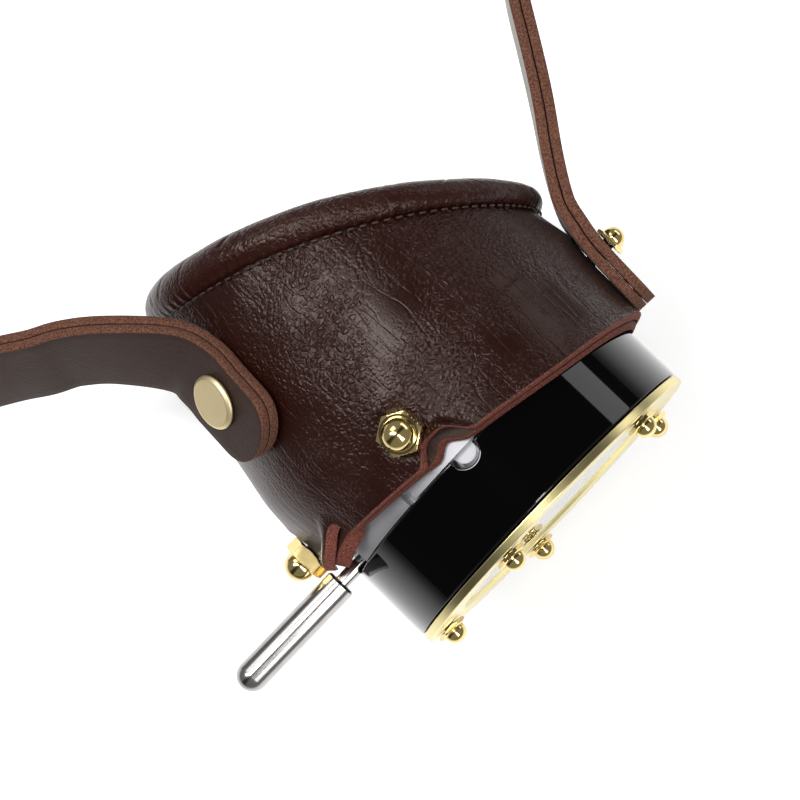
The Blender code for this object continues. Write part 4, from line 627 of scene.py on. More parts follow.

# %% [markdown]
# ## Parts that keep their modelled shape
#
# The housing, the cam ring and the screws have slots and holes that the model already holds. Their meshes come as
# loose triangles. A copy is welded, and each face corner on a cylinder gets the exact radial direction as its
# normal. The housing's inner faces are given the black finish as painted shade, so that its slots look dark. The
# flat blades and the studs only need a finish.


# %% Smoothed copies and finishes
CYLINDER_COS, COPY_WELD, COPY_SHARP_DEG = 0.9, 0.000002, 32.0


def turned_normals(mesh):
    """Per face corner: the radial direction on a cylinder round the axis, and elsewhere the face's own."""
    points = np.empty(len(mesh.vertices) * 3, np.float32)
    mesh.vertices.foreach_get("co", points)
    corner = np.empty(len(mesh.loops), np.int32)
    mesh.loops.foreach_get("vertex_index", corner)
    facing = np.empty(len(mesh.polygons) * 3, np.float32)
    mesh.polygons.foreach_get("normal", facing)
    sides = np.empty(len(mesh.polygons), np.int32)
    mesh.polygons.foreach_get("loop_total", sides)
    facing = np.repeat(facing.reshape(-1, 3), sides, axis=0)
    radial = unit(points.reshape(-1, 3)[corner] * (1, 0, 1) + 1e-12)
    along = np.sum(radial * facing, axis=1, keepdims=True)
    mesh.normals_split_custom_set(np.where(np.abs(along) > CYLINDER_COS, radial * np.sign(along), facing))


def smooth_copy(node, name, material, slot, body="monocle", ring=False):
    """A welded, smoothed copy of a part's mesh, with radial normals where it is a ring."""
    obj = bpy.data.objects.new(name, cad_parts[node].data.copy())
    bpy.context.collection.objects.link(obj)
    bm = bmesh.new()
    bm.from_mesh(obj.data)
    bmesh.ops.remove_doubles(bm, verts=bm.verts, dist=COPY_WELD)
    bm.to_mesh(obj.data)
    bm.free()
    obj.data.shade_smooth()
    obj.data.set_sharp_from_angle(angle=np.radians(COPY_SHARP_DEG))
    for key in [a.name for a in obj.data.attributes if a.name == "custom_normal"]:
        obj.data.attributes.remove(obj.data.attributes[key])
    if ring:
        turned_normals(obj.data)
    return dress(obj, material, slot, [node], body)


HOUSING_BORE_RADIUS, PAINTED_SHADE_MARGIN = 0.0274, 0.0003
housing = smooth_copy("iris_housing", "housing_turned", HOUSING_METAL, "turned_aluminium", ring=True)
# Painted shade: the housing's faces inside the bore's radius take the black finish, so that its slots look dark.
housing.data.materials.append(BLACK_CAM_AND_SHADE)
for face in housing.data.polygons:
    face.material_index = int(np.hypot(face.center.x, face.center.z) < HOUSING_BORE_RADIUS + PAINTED_SHADE_MARGIN)
smooth_copy("cam_ring", "cam_ring_turned", BLACK_CAM_AND_SHADE, "black_anodised", "iris_ring", ring=True)
smooth_copy("retaining_ring", "retaining_ring_sprung", SCREW_STEEL, "polished_steel", ring=True)
for i in range(1, 4):
    smooth_copy(f"cup_screw_{i}", f"cup_screw_turned_{i}", SCREW_STEEL, "polished_steel")
smooth_copy("strap_screw", "strap_screw_turned", SCREW_STEEL, "polished_steel")
for name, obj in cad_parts.items():
    for start, finish in (("iris_blade", BLADE_STEEL), ("bezel_stud", SCREW_STEEL)):
        if name.startswith(start):
            obj.data.materials.clear()
            obj.data.materials.append(finish)

# %% [markdown]
# ## The eye cup
#
# The cup is two layers of hide, wrapped round the housing and clamped by the screws. At the front it is a cylinder;
# behind the housing it flows to the padded rim, which is an oval in a plane that slopes to suit the face. Each
# point mixes the two by its share of the way, and a belly fills it out. The front edge was cut by hand, at a slant
# that shows both raw edges. It curls back in an S beside the top nut, and folds outwards in an ear above the lever.

# %% Cup shape
LEATHER, LAYER_GAP = 0.0015, 0.0003
CUP_SNUG_RADIUS, CUP_FRONT_FLARE, CUP_CLAMP_FLARE = 0.0336, 0.00115, 0.0017
FLARE_START_COS, FLARE_FULL_COS = -0.35, 0.45
HOUSING_BACK_Y = 0.0292
EDGE_MIDDLE_Y, EDGE_TILT, EDGE_DIP, EDGE_DIP_DEG, EDGE_DIP_SPREAD_DEG = 0.01745, 0.0046, 0.0004, 62.0, 20.0
BULGE = (0.0017, 94.5, 3.2, 0.0022)
FLAP = (0.0028, 158.0, 9.0, 0.0032)
RIM_CENTRE = np.array((0.0062, 0.0563, 0.0))
RIM_TURN_DEG, RIM_HALF_LENGTH, RIM_HALF_HEIGHT, RIM_ARCH = 29.3, 0.0323, 0.030, 0.0032
ROLL_RADIUS, ROLL_HEIGHT, ROLL_TAPER, ROLL_OVERHANG = 0.003, 0.003, 0.0007, 0.002
ROLL_FULLNESS = 0.0004
WALL_BELLY, BELLY_EVEN_SHARE, BELLY_START_SHARE = 0.0023, 0.65, 0.13
SEAT_GAP = 0.0003


def flare_share(degrees):
    """How far the cup has opened to pass over the barrel, from cos a."""
    cosine = np.cos(np.radians(degrees))
    return smooth_step((cosine - FLARE_START_COS) / (FLARE_FULL_COS - FLARE_START_COS))


def edge_y(degrees):
    """Front edge: middle - tilt cos a - dip bell(a)."""
    tilt = EDGE_TILT * np.cos(np.radians(degrees))
    return EDGE_MIDDLE_Y - tilt - EDGE_DIP * bell(degrees, EDGE_DIP_DEG, EDGE_DIP_SPREAD_DEG)


def hill(degrees, *corners):
    """Up from the first angle to the second, and down from the third to the fourth, by 3 s^2 - 2 s^3."""
    a, b, c, d = corners
    return smooth_step((degrees - a) / (b - a)) * (1 - smooth_step((degrees - c) / (d - c)))


OUTER_CURL, OUTER_CURL_DEG, OUTER_CURL_SPREAD_DEG = 0.0033, 98.8, 7.2
OUTER_SET_BACK = ((0.0031, 140.5, 144.5, 145.5, 156.5), (-0.0014, 154.0, 162.0, 164.0, 169.0))
OUTER_SLANT = (0.0004, (-0.00025, 96.0, 4.0), (0.0007, 106.0, 3.5), (0.001, 141.0, 144.0, 163.0, 168.0))
LINING_SET_BACK = (
    -0.00055,
    (0.0021, 98.6, 4.1),
    (0.0007, 145.5, 4.0),
    (-0.0011, 150.0, 158.0, 163.0, 168.0),
    (0.0007, 215.0, 231.0, 241.0, 255.0),
)
LINING_SLANT = (0.0005, (0.0006, 101.0, 5.0), (0.0018, 141.0, 145.0, 160.0, 167.0))


def humps(degrees, start, *rows):
    """start + height x bell for rows (height, centre, spread), and + height x hill for rows of five."""
    return start + sum(height * (bell if len(angles) == 2 else hill)(degrees, *angles) for height, *angles in rows)


def outer_edge(degrees):
    """How far the outer layer's edge is set back, curl exp(-(d / spread)^4) + humps, and the slant of its cut."""
    curl = OUTER_CURL * np.exp(-(((degrees - OUTER_CURL_DEG) / OUTER_CURL_SPREAD_DEG) ** 4))
    return humps(degrees, curl, *OUTER_SET_BACK), humps(degrees, *OUTER_SLANT)


def lining_edge(degrees):
    """The same for the lining, which leads the outer layer by half a millimetre, follows its curls less, and is
    trimmed back underneath, where the lever's neck ends its travel."""
    return humps(degrees, *LINING_SET_BACK), humps(degrees, *LINING_SLANT)


def rim_point(degrees, out, rise):
    """centre + across (half length + out) cos a + up (half height + out) sin a + back (arch sin^2 a + rise)."""
    turn, angle = np.radians(RIM_TURN_DEG), np.radians(degrees)
    across = np.array((np.cos(turn), -np.sin(turn), 0.0))
    back = np.array((np.sin(turn), np.cos(turn), 0.0))
    cosine, sine, out, rise = np.broadcast_arrays(np.cos(angle), np.sin(angle), out, rise)
    point = RIM_CENTRE + across * ((RIM_HALF_LENGTH + out) * cosine)[..., None]
    point = point + np.array((0.0, 0.0, 1.0)) * ((RIM_HALF_HEIGHT + out) * sine)[..., None]
    return point + back * (RIM_ARCH * sine * sine + rise)[..., None]


def roll_height(degrees):
    """Half the roll's height, less on the nose side: height - taper cos a."""
    return ROLL_HEIGHT - ROLL_TAPER * np.cos(np.radians(degrees))


def wall_point(degrees, share, depth):
    """start (1 - s) + end s + belly, with belly = fullness (1 - s) (1 - exp(-s / 0.13))."""
    start = polar(CUP_SNUG_RADIUS + CUP_CLAMP_FLARE * flare_share(degrees) - depth, degrees, HOUSING_BACK_Y)
    end = rim_point(degrees, ROLL_OVERHANG - depth, -roll_height(degrees) - SEAT_GAP)
    fullness = BELLY_EVEN_SHARE - (1 - BELLY_EVEN_SHARE) * np.cos(np.radians(degrees))
    belly = WALL_BELLY * fullness * (1 - share) * (1 - np.exp(-share / BELLY_START_SHARE))
    share = np.broadcast_to(share, np.broadcast_shapes(np.shape(share), np.shape(degrees)))[..., None]
    return start * (1 - share) + end * share + polar(belly, degrees, 0.0)


def band_point(degrees, share, depth, waves, set_back):
    """The clamped band: its radius runs from the front flare to the clamp flare, and its waves fade to the back."""
    flare = flare_share(degrees)
    front_radius = CUP_SNUG_RADIUS + CUP_FRONT_FLARE * flare - depth
    back_radius = CUP_SNUG_RADIUS + CUP_CLAMP_FLARE * flare - depth
    start = edge_y(degrees) + set_back
    y = start + (HOUSING_BACK_Y - start) * share
    radius = front_radius + (back_radius - front_radius) * share
    for height, centre, spread, reach in waves:
        radius = radius + height * bell(degrees, centre, spread) * (1 - smooth_step((y - start) / reach))
    return polar(radius, degrees, y)


print("rim is", round(float(rim_point(0.0, 0.0, 0.0)[0] - rim_point(180.0, 0.0, 0.0)[0]), 4), "m across")

# %% [markdown]
# Leather that is pulled over a form doesn't stay even. It swells round each nut that presses on it, it is uneven
# where it was stretched, and it keeps long shallow creases where it was bent. These are small heights added along
# the outward direction: rings round the nuts, a low step over the housing's back edge, slow waves, and narrow
# grooves along lines.

# %% Relief of the outer leather
CREASES = ((28.0, 38.0, 0.00016), (35.0, 45.0, 0.0001), (19.0, 30.0, 0.0001), (128.0, 121.0, 0.00008))
CREASE_FRONT_Y, CREASE_BACK_Y, CREASE_WIDTH, CREASE_WANDER_DEG = 0.017, 0.05, 0.00045, 1.2
NUT_RING, NUT_RING_RADIUS, NUT_RING_WIDTH = 0.00022, 0.0052, 0.0013
NUT_DENT, NUT_DENT_RADIUS = 0.0001, 0.004
STEP, STEP_WIDTH = 0.0003, 0.0026
WAVES_START_Y, WAVES_RISE, LONG_WAVE, SHORT_WAVE = 0.030, 0.012, 0.00022, 0.00012


def relief(degrees, points):
    """Height added outwards, in four parts.

    Round a nut at distance d: ring exp(-((d - 5.2 mm) / 1.3 mm)^2) - dent exp(-(d / 4 mm)^2). Over the housing's
    back edge: step exp(-(y / 2.6 mm)^2). Behind it: sines of the angle and y. Creases: grooves exp(-(x / w)^2).
    """
    y = points[..., 1]
    height = STEP * np.exp(-(((y - HOUSING_BACK_Y) / STEP_WIDTH) ** 2))
    for centre in CUP_NUT_DEGREES:
        away = np.hypot(CUP_SNUG_RADIUS * np.radians(turn_from(degrees, centre)), y - SCREW_Y)
        height += NUT_RING * np.exp(-(((away - NUT_RING_RADIUS) / NUT_RING_WIDTH) ** 2))
        height -= NUT_DENT * np.exp(-((away / NUT_DENT_RADIUS) ** 2))
    angle = np.radians(degrees)
    behind = smooth_step((y - WAVES_START_Y) / WAVES_RISE)
    height += behind * LONG_WAVE * np.sin(5 * angle + y * 170.0) * np.sin(y * 210.0 + 2.0 * np.sin(3 * angle))
    height += behind * SHORT_WAVE * np.sin(11 * angle - y * 90.0 + 1.3)
    share = (y - CREASE_FRONT_Y) / (CREASE_BACK_Y - CREASE_FRONT_Y)
    ends = smooth_step(share * 4) * smooth_step((1 - share) * 4)
    for back_deg, front_deg, depth in CREASES:
        line = front_deg + (back_deg - front_deg) * share + CREASE_WANDER_DEG * np.sin(share * 9.0)
        off = CUP_SNUG_RADIUS * np.radians(turn_from(degrees, line))
        height -= depth * ends * np.exp(-((off / CREASE_WIDTH) ** 2))
    return height


print("deepest crease:", max(depth for _, _, depth in CREASES) * 1000, "mm")

# %% Cup layers
FINE_SPANS_DEG, FINE_STEP_DEG = ((84.0, 114.0), (137.0, 173.0)), 0.4
cup_degrees = np.arange(0.0, 360.0, 1.0)
for low, high in FINE_SPANS_DEG:
    coarse = cup_degrees[(cup_degrees < low) | (cup_degrees > high)]
    cup_degrees = np.concatenate([coarse, np.arange(low, high, FINE_STEP_DEG)])
cup_degrees = np.sort(cup_degrees)
BAND_SHARES = np.linspace(0.0, 1.0, 22) ** 1.25
WALL_SHARES = np.concatenate([np.linspace(0.02, 0.9, 40), np.linspace(0.92, 1.0, 8)])
EDGE_ROUND, EDGE_STEPS = 0.00028, 7
TUCK_RISE, TUCK_OUT, TUCK_IN = 0.0009, 0.0006, 0.0002


def layer_points(depth, waves, edge_shape, uneven):
    """Rows: raw front edge, band, wall and tuck under the roll outside, then the same back along the inside."""
    degrees = cup_degrees[None, :]
    set_back, slant = edge_shape(degrees)
    band, wall = BAND_SHARES[:, None], WALL_SHARES[:, None]
    outer = np.concatenate([band_point(degrees, band, depth, waves, set_back), wall_point(degrees, wall, depth)])
    if uneven:
        height = relief(degrees, outer)[..., None]
        outer = outer + polar(1.0, degrees, 0.0) * height
    inside = depth + LEATHER
    inside_band = band_point(degrees, band, inside, waves, set_back - slant)
    inner = np.concatenate([inside_band, wall_point(degrees, wall, inside)])
    tuck_out = rim_point(degrees, ROLL_OVERHANG - depth - TUCK_OUT, -ROLL_HEIGHT + TUCK_RISE)
    tuck_in = rim_point(degrees, ROLL_OVERHANG - inside - TUCK_IN, -ROLL_HEIGHT + TUCK_RISE)
    s = np.sin(np.linspace(-np.pi / 2, np.pi / 2, EDGE_STEPS + 2)[1:-1])[:, None, None]
    middle, half = (outer[:1] + inner[:1]) / 2, (outer[:1] - inner[:1]) / 2
    forward = EDGE_ROUND * (1 - np.abs(s) ** 3) ** (1 / 3)
    edge = middle + half * s - np.array((0.0, 1.0, 0.0)) * forward
    points = np.concatenate([edge, outer, tuck_out, tuck_in, inner[::-1]])
    raw = np.zeros(points.shape[:2])
    raw[:EDGE_STEPS] = 1.0
    return points, raw


for name, node, depth, waves, edge_shape, finish, slot in (
    ("cup_outer_hide", "cup_outer", 0.0, (BULGE, FLAP), outer_edge, CUP_LEATHER, "brown_leather"),
    ("cup_inner_hide", "cup_lining", LEATHER + LAYER_GAP, (FLAP,), lining_edge, LINING_LEATHER, "lining_leather"),
):
    points, raw = layer_points(depth, waves, edge_shape, uneven=node == "cup_outer")
    hide = surface(name, points, close_rows=True, sharp_deg=70.0, values={"raw": raw})
    dress(hide, finish, slot, [node])

# %% [markdown]
# ## The padded rim
#
# A strip of the same hide is wrapped round a soft core and sewn to the cup, so it is a roll with a pinched seam.
# Its padding makes it 0.4 mm fuller than a plain roll. The thread pulls the leather in at each stitch, and a roll
# that follows a tight curve wrinkles across. All of this is known well enough to be written as a formula, which
# gives the same roll each time, so no cloth simulation is run.

# %% Rim roll
ROLL_STATIONS, ROLL_COLUMNS = 900, 56
STITCH_COUNT, SEAM_SECTION_DEG = 104, 292.0
SEAM_PINCH, SEAM_SPREAD_DEG = 0.00035, 13.0
PUCKER, PUCKER_ASIDE_DEG, PUCKER_SPREAD_DEG = 0.00013, 24.0, 20.0
SOFT_WAVE, WRINKLE_REACH_DEG, WRINKLE_COUNT = 0.00008, 55.0, 95
WRINKLE_SPANS = ((0, 360), (0.4, 1.2), (0.00006, 0.0002), (-0.12, 0.12), (0, 360))
rng = np.random.default_rng(7)
WRINKLES = [[rng.uniform(*span) for span in WRINKLE_SPANS] for _ in range(WRINKLE_COUNT)]


def roll_points():
    """Section: (R cos b, H sin b), pinched at the seam, puckered at each stitch, with wrinkles across the roll."""
    degrees, section = even_degrees(ROLL_STATIONS)[:, None], even_degrees(ROLL_COLUMNS)[None, :]
    pucker = 0.5 + 0.5 * np.cos(np.radians(degrees * STITCH_COUNT))
    swell = -SEAM_PINCH * bell(section, SEAM_SECTION_DEG, SEAM_SPREAD_DEG)
    swell = swell - PUCKER * pucker * bell(section, SEAM_SECTION_DEG + PUCKER_ASIDE_DEG, PUCKER_SPREAD_DEG)
    for centre, spread, depth, skew, side in WRINKLES:
        off = degrees - centre + skew * (section - side)
        swell -= depth * bell(off, 0.0, spread) * bell(section, side, WRINKLE_REACH_DEG)
    swell += SOFT_WAVE * np.sin(np.radians(degrees * 9)) * np.sin(np.radians(degrees * 4 + section))
    angle = np.radians(section)
    out = (ROLL_RADIUS + ROLL_FULLNESS + swell) * np.cos(angle)
    rise = (roll_height(degrees) + ROLL_FULLNESS + swell) * np.sin(angle)
    return rim_point(degrees, out, rise)


roll = surface("rim_roll_padded", roll_points(), close_rows=True, sharp_deg=80.0)
dress(roll, ROLL_LEATHER, "brown_leather", ["rim_roll"])


# %% Stitches
THREAD_RADIUS, STITCH_SHARE, STITCH_STATIONS, THREAD_SIDES = 0.00024, 0.66, 9, 8
STITCH_OUT, STITCH_BELOW = 0.00045, 0.0001


def stitch_points():
    """Each stitch is a short rod along the seam, thick in the middle: radius sqrt(1 - x^4) at x from -1 to 1."""
    x = np.linspace(-1, 1, STITCH_STATIONS)
    pitch = 360.0 / STITCH_COUNT
    degrees = (np.arange(STITCH_COUNT) * pitch)[:, None] + x * pitch / 2 * STITCH_SHARE
    line = rim_point(degrees, ROLL_OVERHANG + STITCH_OUT, -roll_height(degrees) - STITCH_BELOW)
    along = unit(np.gradient(line, axis=1))
    outward = unit(polar(1.0, degrees, 0.0))
    side = unit(np.cross(along, outward))
    angle = np.radians(even_degrees(THREAD_SIDES))[None, None, :, None]
    radius = THREAD_RADIUS * np.sqrt(np.clip(1 - x**4, 0, 1))[None, :, None, None]
    ring = outward[:, :, None] * np.cos(angle) + side[:, :, None] * np.sin(angle)
    return list(line[:, :, None] + ring * radius)


THREAD = rubbed("waxed_linen_thread", "1d110d", "3b271e", 0.5, metallic=0.0)
stitches = surface("rim_stitches", *stitch_points(), sharp_deg=60.0)
dress(stitches, THREAD, "brown_leather")

# %% [markdown]
# ## Straps
#
# Each strap is bridle leather, 15 mm wide and two layers thick. It leaves the cup at a fastener, sweeps round the
# head and meets the other one at the buckle. Its route is a smooth curve through chosen points. At every station
# the section is set by three directions: along the strap, out of the loop and up its width, and the strap leans
# where the cup's wall leans. The cut edges are slightly rounded and show the raw fibres.

# %% Strap routes
STRAP_LEATHER, STRAP_WIDTH, STRAP_THICKNESS = 0.0018, 0.015, 0.0039
LOOP_HALF_WIDTH, LOOP_BACK_Y = 0.088, 0.225
STRAP_REST_Z, BACK_Z = -0.0310393, -0.0279393
LEFT_STRAP_DEG, LEFT_RIVET_Y, LEFT_TURN_DEG, LEFT_TIP, LEFT_HOLD = 143.0, 0.0512, 17.0, 0.0115, 0.006
RIGHT_TIP, RIGHT_TIP_SHARE, RIGHT_LEAN_DEG = 0.012, 0.42, -3.0
STRAP_STAND_OFF, STRAP_TIP_RADIUS = 0.00015, 0.007
LAYER_OFFSET, FOLD_OFFSET, FOLD_TAPER = 0.00097, 0.0022, 0.009
BACK_FLAT_SHARE = 0.36
TONGUE_LENGTH, FRAME_REACH = 0.042, 0.0135
PROBE_SHARE, PROBE_DEG = 0.05, 4.0
LEFT_ROUTE_SHARES = (
    (0.0202, 0.0335, 0.02, 0.92),
    (0.1269, 0.0860, 0.06, 0.78),
    (0.2170, 0.1176, 0.10, 0.75),
    (0.3306, 0.1465, 0.15, 0.75),
    (0.7228, 0.2680, 0.42, 0.6),
    (0.9792, 0.4896, 0.80, 0.25),
    (0.9169, 0.7314, 0.975, 0.0),
    (0.6674, 0.9127, 0.997, 0.0),
    (0.3902, 0.9866, 0.96, 0.0),
)
RIGHT_ROUTE_SHARES = (
    (0.0149, 0.0303, 0.0, 0.0),
    (0.0393, 0.0505, 0.01, 0.0),
    (0.1211, 0.0850, 0.03, 0.5),
    (0.2516, 0.1319, 0.05, 1.0),
    (0.4048, 0.1920, 0.10, 1.0),
    (0.7563, 0.3340, 0.35, 0.9),
    (0.9826, 0.5275, 0.74, 0.4),
    (0.9217, 0.7525, 0.97, 0.0),
    (0.5823, 0.9269, 0.994, 0.0),
    (0.2342, 0.9888, 0.945, 0.0),
)


def spline(points, steps):
    """(2b + (c - a) t + (2a - 5b + 4c - d) t^2 + (3b - a - 3c + d) t^3) / 2 between each b and c."""
    points = np.asarray(points, float)
    ends = np.concatenate([2 * points[:1] - points[1:2], points, 2 * points[-1:] - points[-2:-1]])
    a, b, c, d = (ends[i : len(ends) - 3 + i, None] for i in range(4))
    t = (np.arange(steps) / steps)[None, :, None]
    near, far = 2 * b + (c - a) * t, (2 * a - 5 * b + 4 * c - d) * t**2 + (3 * b - a - 3 * c + d) * t**3
    return np.concatenate([((near + far) / 2).reshape(-1, points.shape[1]), points[-1:]])


def rivet_axis():
    """Where the rivet meets the cup, the direction out of it (round x along) and the way along the cup."""
    turn = LEFT_STRAP_DEG
    share = (LEFT_RIVET_Y - HOUSING_BACK_Y) / (wall_point(turn, 1.0, 0.0)[1] - HOUSING_BACK_Y)
    place = wall_point(turn, share, 0.0)
    along = wall_point(turn, share + PROBE_SHARE, 0.0) - wall_point(turn, share - PROBE_SHARE, 0.0)
    across = wall_point(turn + PROBE_DEG, share, 0.0) - wall_point(turn - PROBE_DEG, share, 0.0)
    direction = unit(np.cross(across, along))
    return place, direction * (-1 if direction[0] > 0 else 1), unit(along)


def level_frame(along, toward):
    """Level direction (along_y, -along_x, 0) facing toward, and the upright one, level x along, facing up."""
    level = unit(np.stack([along[..., 1], -along[..., 0], 0 * along[..., 0]], axis=-1))
    level = level * np.where(np.sum(level * toward, axis=-1, keepdims=True) < 0, -1, 1)
    upright = unit(np.cross(level, along))
    return level, upright * np.where(upright[..., 2:] < 0, -1, 1)


def right_seat(y, share):
    """A point of the right strap over its screw: cup radius + stand-off + thickness x share."""
    s = (y - edge_y(STRAP_NUT_DEG)) / (HOUSING_BACK_Y - edge_y(STRAP_NUT_DEG))
    flare = CUP_FRONT_FLARE + (CUP_CLAMP_FLARE - CUP_FRONT_FLARE) * s
    radius = CUP_SNUG_RADIUS + flare * flare_share(STRAP_NUT_DEG) + STRAP_STAND_OFF + STRAP_THICKNESS * share
    return polar(radius, STRAP_NUT_DEG, y)


def route_of(held, held_lean, shares, lean, side):
    """held + (far corner - held) x shares for each free point, then the start of the straight stretch behind."""
    shares = np.array(shares)
    far = np.array((side * LOOP_HALF_WIDTH, LOOP_BACK_Y, STRAP_REST_Z))
    free = held[-1] + (far - held[-1]) * shares[:, :3]
    last = [[side * BACK_FLAT_SHARE * LOOP_HALF_WIDTH, LOOP_BACK_Y, BACK_Z]]
    return np.concatenate([held, free, last]), np.concatenate([[held_lean] * len(held), lean * shares[:, 3], [0.0]])


def left_route():
    """The left strap's points and leans: under the rivet it lies along the cup, turned 17 degrees in its plane."""
    place, direction, along = rivet_axis()
    ahead = np.array(Matrix.Rotation(np.radians(LEFT_TURN_DEG), 3, Vector(direction)) @ Vector(along))
    centre = place + direction * (STRAP_STAND_OFF + STRAP_THICKNESS / 2)
    level, upright = level_frame(ahead, direction)
    lean = np.degrees(np.arctan2(direction @ upright, direction @ level))
    held = np.array([centre - ahead * LEFT_TIP, centre, centre + ahead * LEFT_HOLD])
    return route_of(held, lean, LEFT_ROUTE_SHARES, lean, -1)


def right_route():
    """The right strap's points and leans, from its tip and the screw that holds it."""
    held = np.array([right_seat(SCREW_Y - RIGHT_TIP, RIGHT_TIP_SHARE), right_seat(SCREW_Y, 0.5)])
    return route_of(held, STRAP_NUT_DEG, RIGHT_ROUTE_SHARES, RIGHT_LEAN_DEG, 1)


def tip_width(length):
    """sqrt(1 - (1 - t)^3) of the full width, t of the tip's radius from the end."""
    t = np.clip(length / STRAP_TIP_RADIUS, 0, 1)
    return np.sqrt(np.clip(1 - (1 - t) ** 3, 0, 1))


STATION_STEP, TIP_STATIONS, CHORD, CURVE_STEPS = 0.0013, 14, 0.0018, 24


def path_frames(points, leans, centre=(0.0, LOOP_BACK_Y / 2, 0.0)):
    """Stations by length, close together at the tip: point, out = level cos l + upright sin l, up, length."""
    curve, lean = spline(points, CURVE_STEPS), spline(np.asarray(leans)[:, None], CURVE_STEPS)[:, 0]
    run = np.concatenate([[0], np.cumsum(np.linalg.norm(np.diff(curve, axis=0), axis=1))])
    tip = STRAP_TIP_RADIUS * (1 - np.cos(np.linspace(0, np.pi / 2, TIP_STATIONS, endpoint=False)))
    length = np.concatenate([tip, np.linspace(STRAP_TIP_RADIUS, run[-1], round(run[-1] / STATION_STEP))])

    def at(where):
        return np.stack([np.interp(where, run, curve[:, k]) for k in range(3)], axis=-1)

    along = unit(at(np.minimum(length + CHORD, run[-1])) - at(np.maximum(length - CHORD, 0)))
    level, upright = level_frame(along, at(length) - np.array(centre))
    angle = np.radians(np.interp(length, run, lean))[:, None]
    out, up = level * np.cos(angle) + upright * np.sin(angle), upright * np.cos(angle) - level * np.sin(angle)
    return at(length), out, up, length


print("route points:", len(left_route()[0]), "left,", len(right_route()[0]), "right")

# %% Strap section
EDGE_CORNER, FACE_CROWN, WANDER = 0.0004, 0.00006, 0.00004
FACE_POINTS, EDGE_POINTS = 11, 7


def strap_columns():
    """Round the section: outside, one cut edge, inside, the other.

    Each column has a side, a share of the way round the corner, a height and a raw share. The cut edge is the curve
    x = cos^(2/3), y = sin^(2/3), a square with well rounded corners.
    """
    face = np.linspace(-1, 1, FACE_POINTS)
    angle = np.linspace(np.pi / 2, -np.pi / 2, EDGE_POINTS + 2)[1:-1]
    bend, tall = np.cos(angle) ** (2 / 3), np.sign(np.sin(angle)) * np.abs(np.sin(angle)) ** (2 / 3)
    level, ones = np.zeros(FACE_POINTS), np.ones(EDGE_POINTS)
    side = np.concatenate([face, ones, face[::-1], -ones])
    corner = np.concatenate([level, bend, level, bend[::-1]])
    high = np.concatenate([level + 1, tall, level - 1, tall[::-1]])
    raw = np.concatenate([level, ones, level, ones])
    return side, corner, high, raw


def strap_rows(middle, out, up, width, wander):
    """middle + up side (half - e + e corner) + out (high leather / 2 + crown); wander shifts the inside face."""
    side, corner, high, _ = (v[None, :, None] for v in strap_columns())
    half = (STRAP_WIDTH / 2 * width)[:, None, None]
    ease = np.minimum(EDGE_CORNER, half)
    across = side * (half - ease) + side * ease * corner
    inside = np.clip(-high, 0, 1) * wander[:, None, None]
    crown = FACE_CROWN * (1 - side**2) * np.clip(high, 0, 1)
    through = high * (STRAP_LEATHER / 2) + inside + crown
    return middle[:, None] + up[:, None] * across + out[:, None] * through


def strap_values(rows, flesh_and_reflection=False):
    """raw is 1 on cut edges. flesh is 1 on the outward face of a layer whose unfinished side shows."""
    _, _, high, raw = strap_columns()
    # The second mark shows where pale grey is painted: partly the flesh side's own colour, partly a painted
    # reflection of the white table.
    return {"raw": np.tile(raw, (rows, 1)), "flesh_and_reflection": np.tile((high > 0.99) * float(flesh_and_reflection), (rows, 1))}


def straight_back(start_x, end_x):
    """Stations of the straight stretch behind the head, a step apart: place, out and up."""
    count = max(round(abs(end_x - start_x) / STATION_STEP), 1)
    x = np.linspace(start_x, end_x, count + 1)[1:]
    ones = np.ones((count, 1))
    return np.stack([x, 0 * x + LOOP_BACK_Y, 0 * x + BACK_Z], 1), ones * (0, 1, 0), ones * (0, 0, 1)


def strap_line(route, start_x, end_x):
    """The middle line of a strap, route and straight stretch: place, out, up, width, and the layers' wander.

    The gap between the layers wanders by 0.04 mm, a sum of three sines that are 15, 7 and 3.6 mm long.
    """
    *curved, length = path_frames(*route)
    middle, out, up = (np.concatenate(pair) for pair in zip(curved, straight_back(start_x, end_x)))
    width = np.concatenate([tip_width(length), np.ones(len(middle) - len(length))])
    run = np.arange(len(middle)) * STATION_STEP
    wander = WANDER * (np.sin(run * 420) + 0.7 * np.sin(run * 911 + 1) + 0.4 * np.sin(run * 1733 + 2)) / 2
    return middle, out, up, width, wander


def cut_away(obj, *tools):
    """Takes the tools' shapes out of the mesh for good, then deletes them."""
    for tool in tools:
        modifier = obj.modifiers.new("cut", "BOOLEAN")
        modifier.object, modifier.solver = tool, "EXACT"
        graph = bpy.context.evaluated_depsgraph_get()
        mesh = bpy.data.meshes.new_from_object(obj.evaluated_get(graph))
        obj.modifiers.clear()
        obj.data = mesh
        bpy.data.objects.remove(tool)
    return obj


TOOL_REACH = 0.008


def oval_tool(name, centre_x, half_length, half_width):
    """A long hole's shape, deep in y: x = centre + (sign cos a) (half length - half width) + half width cos a."""
    angle = np.radians(even_degrees(40))[None, :]
    x = centre_x + np.sign(np.cos(angle)) * (half_length - half_width) + half_width * np.cos(angle)
    z = BACK_Z + half_width * np.sin(angle)
    depth = TOOL_REACH * np.array([[-1], [-1], [1], [1]])
    closed = np.array([[0.0], [1.0], [1.0], [0.0]])
    x, z = centre_x + (x - centre_x) * closed, BACK_Z + (z - BACK_Z) * closed
    return surface(name, np.stack(np.broadcast_arrays(x, LOOP_BACK_Y + depth, z), axis=-1))


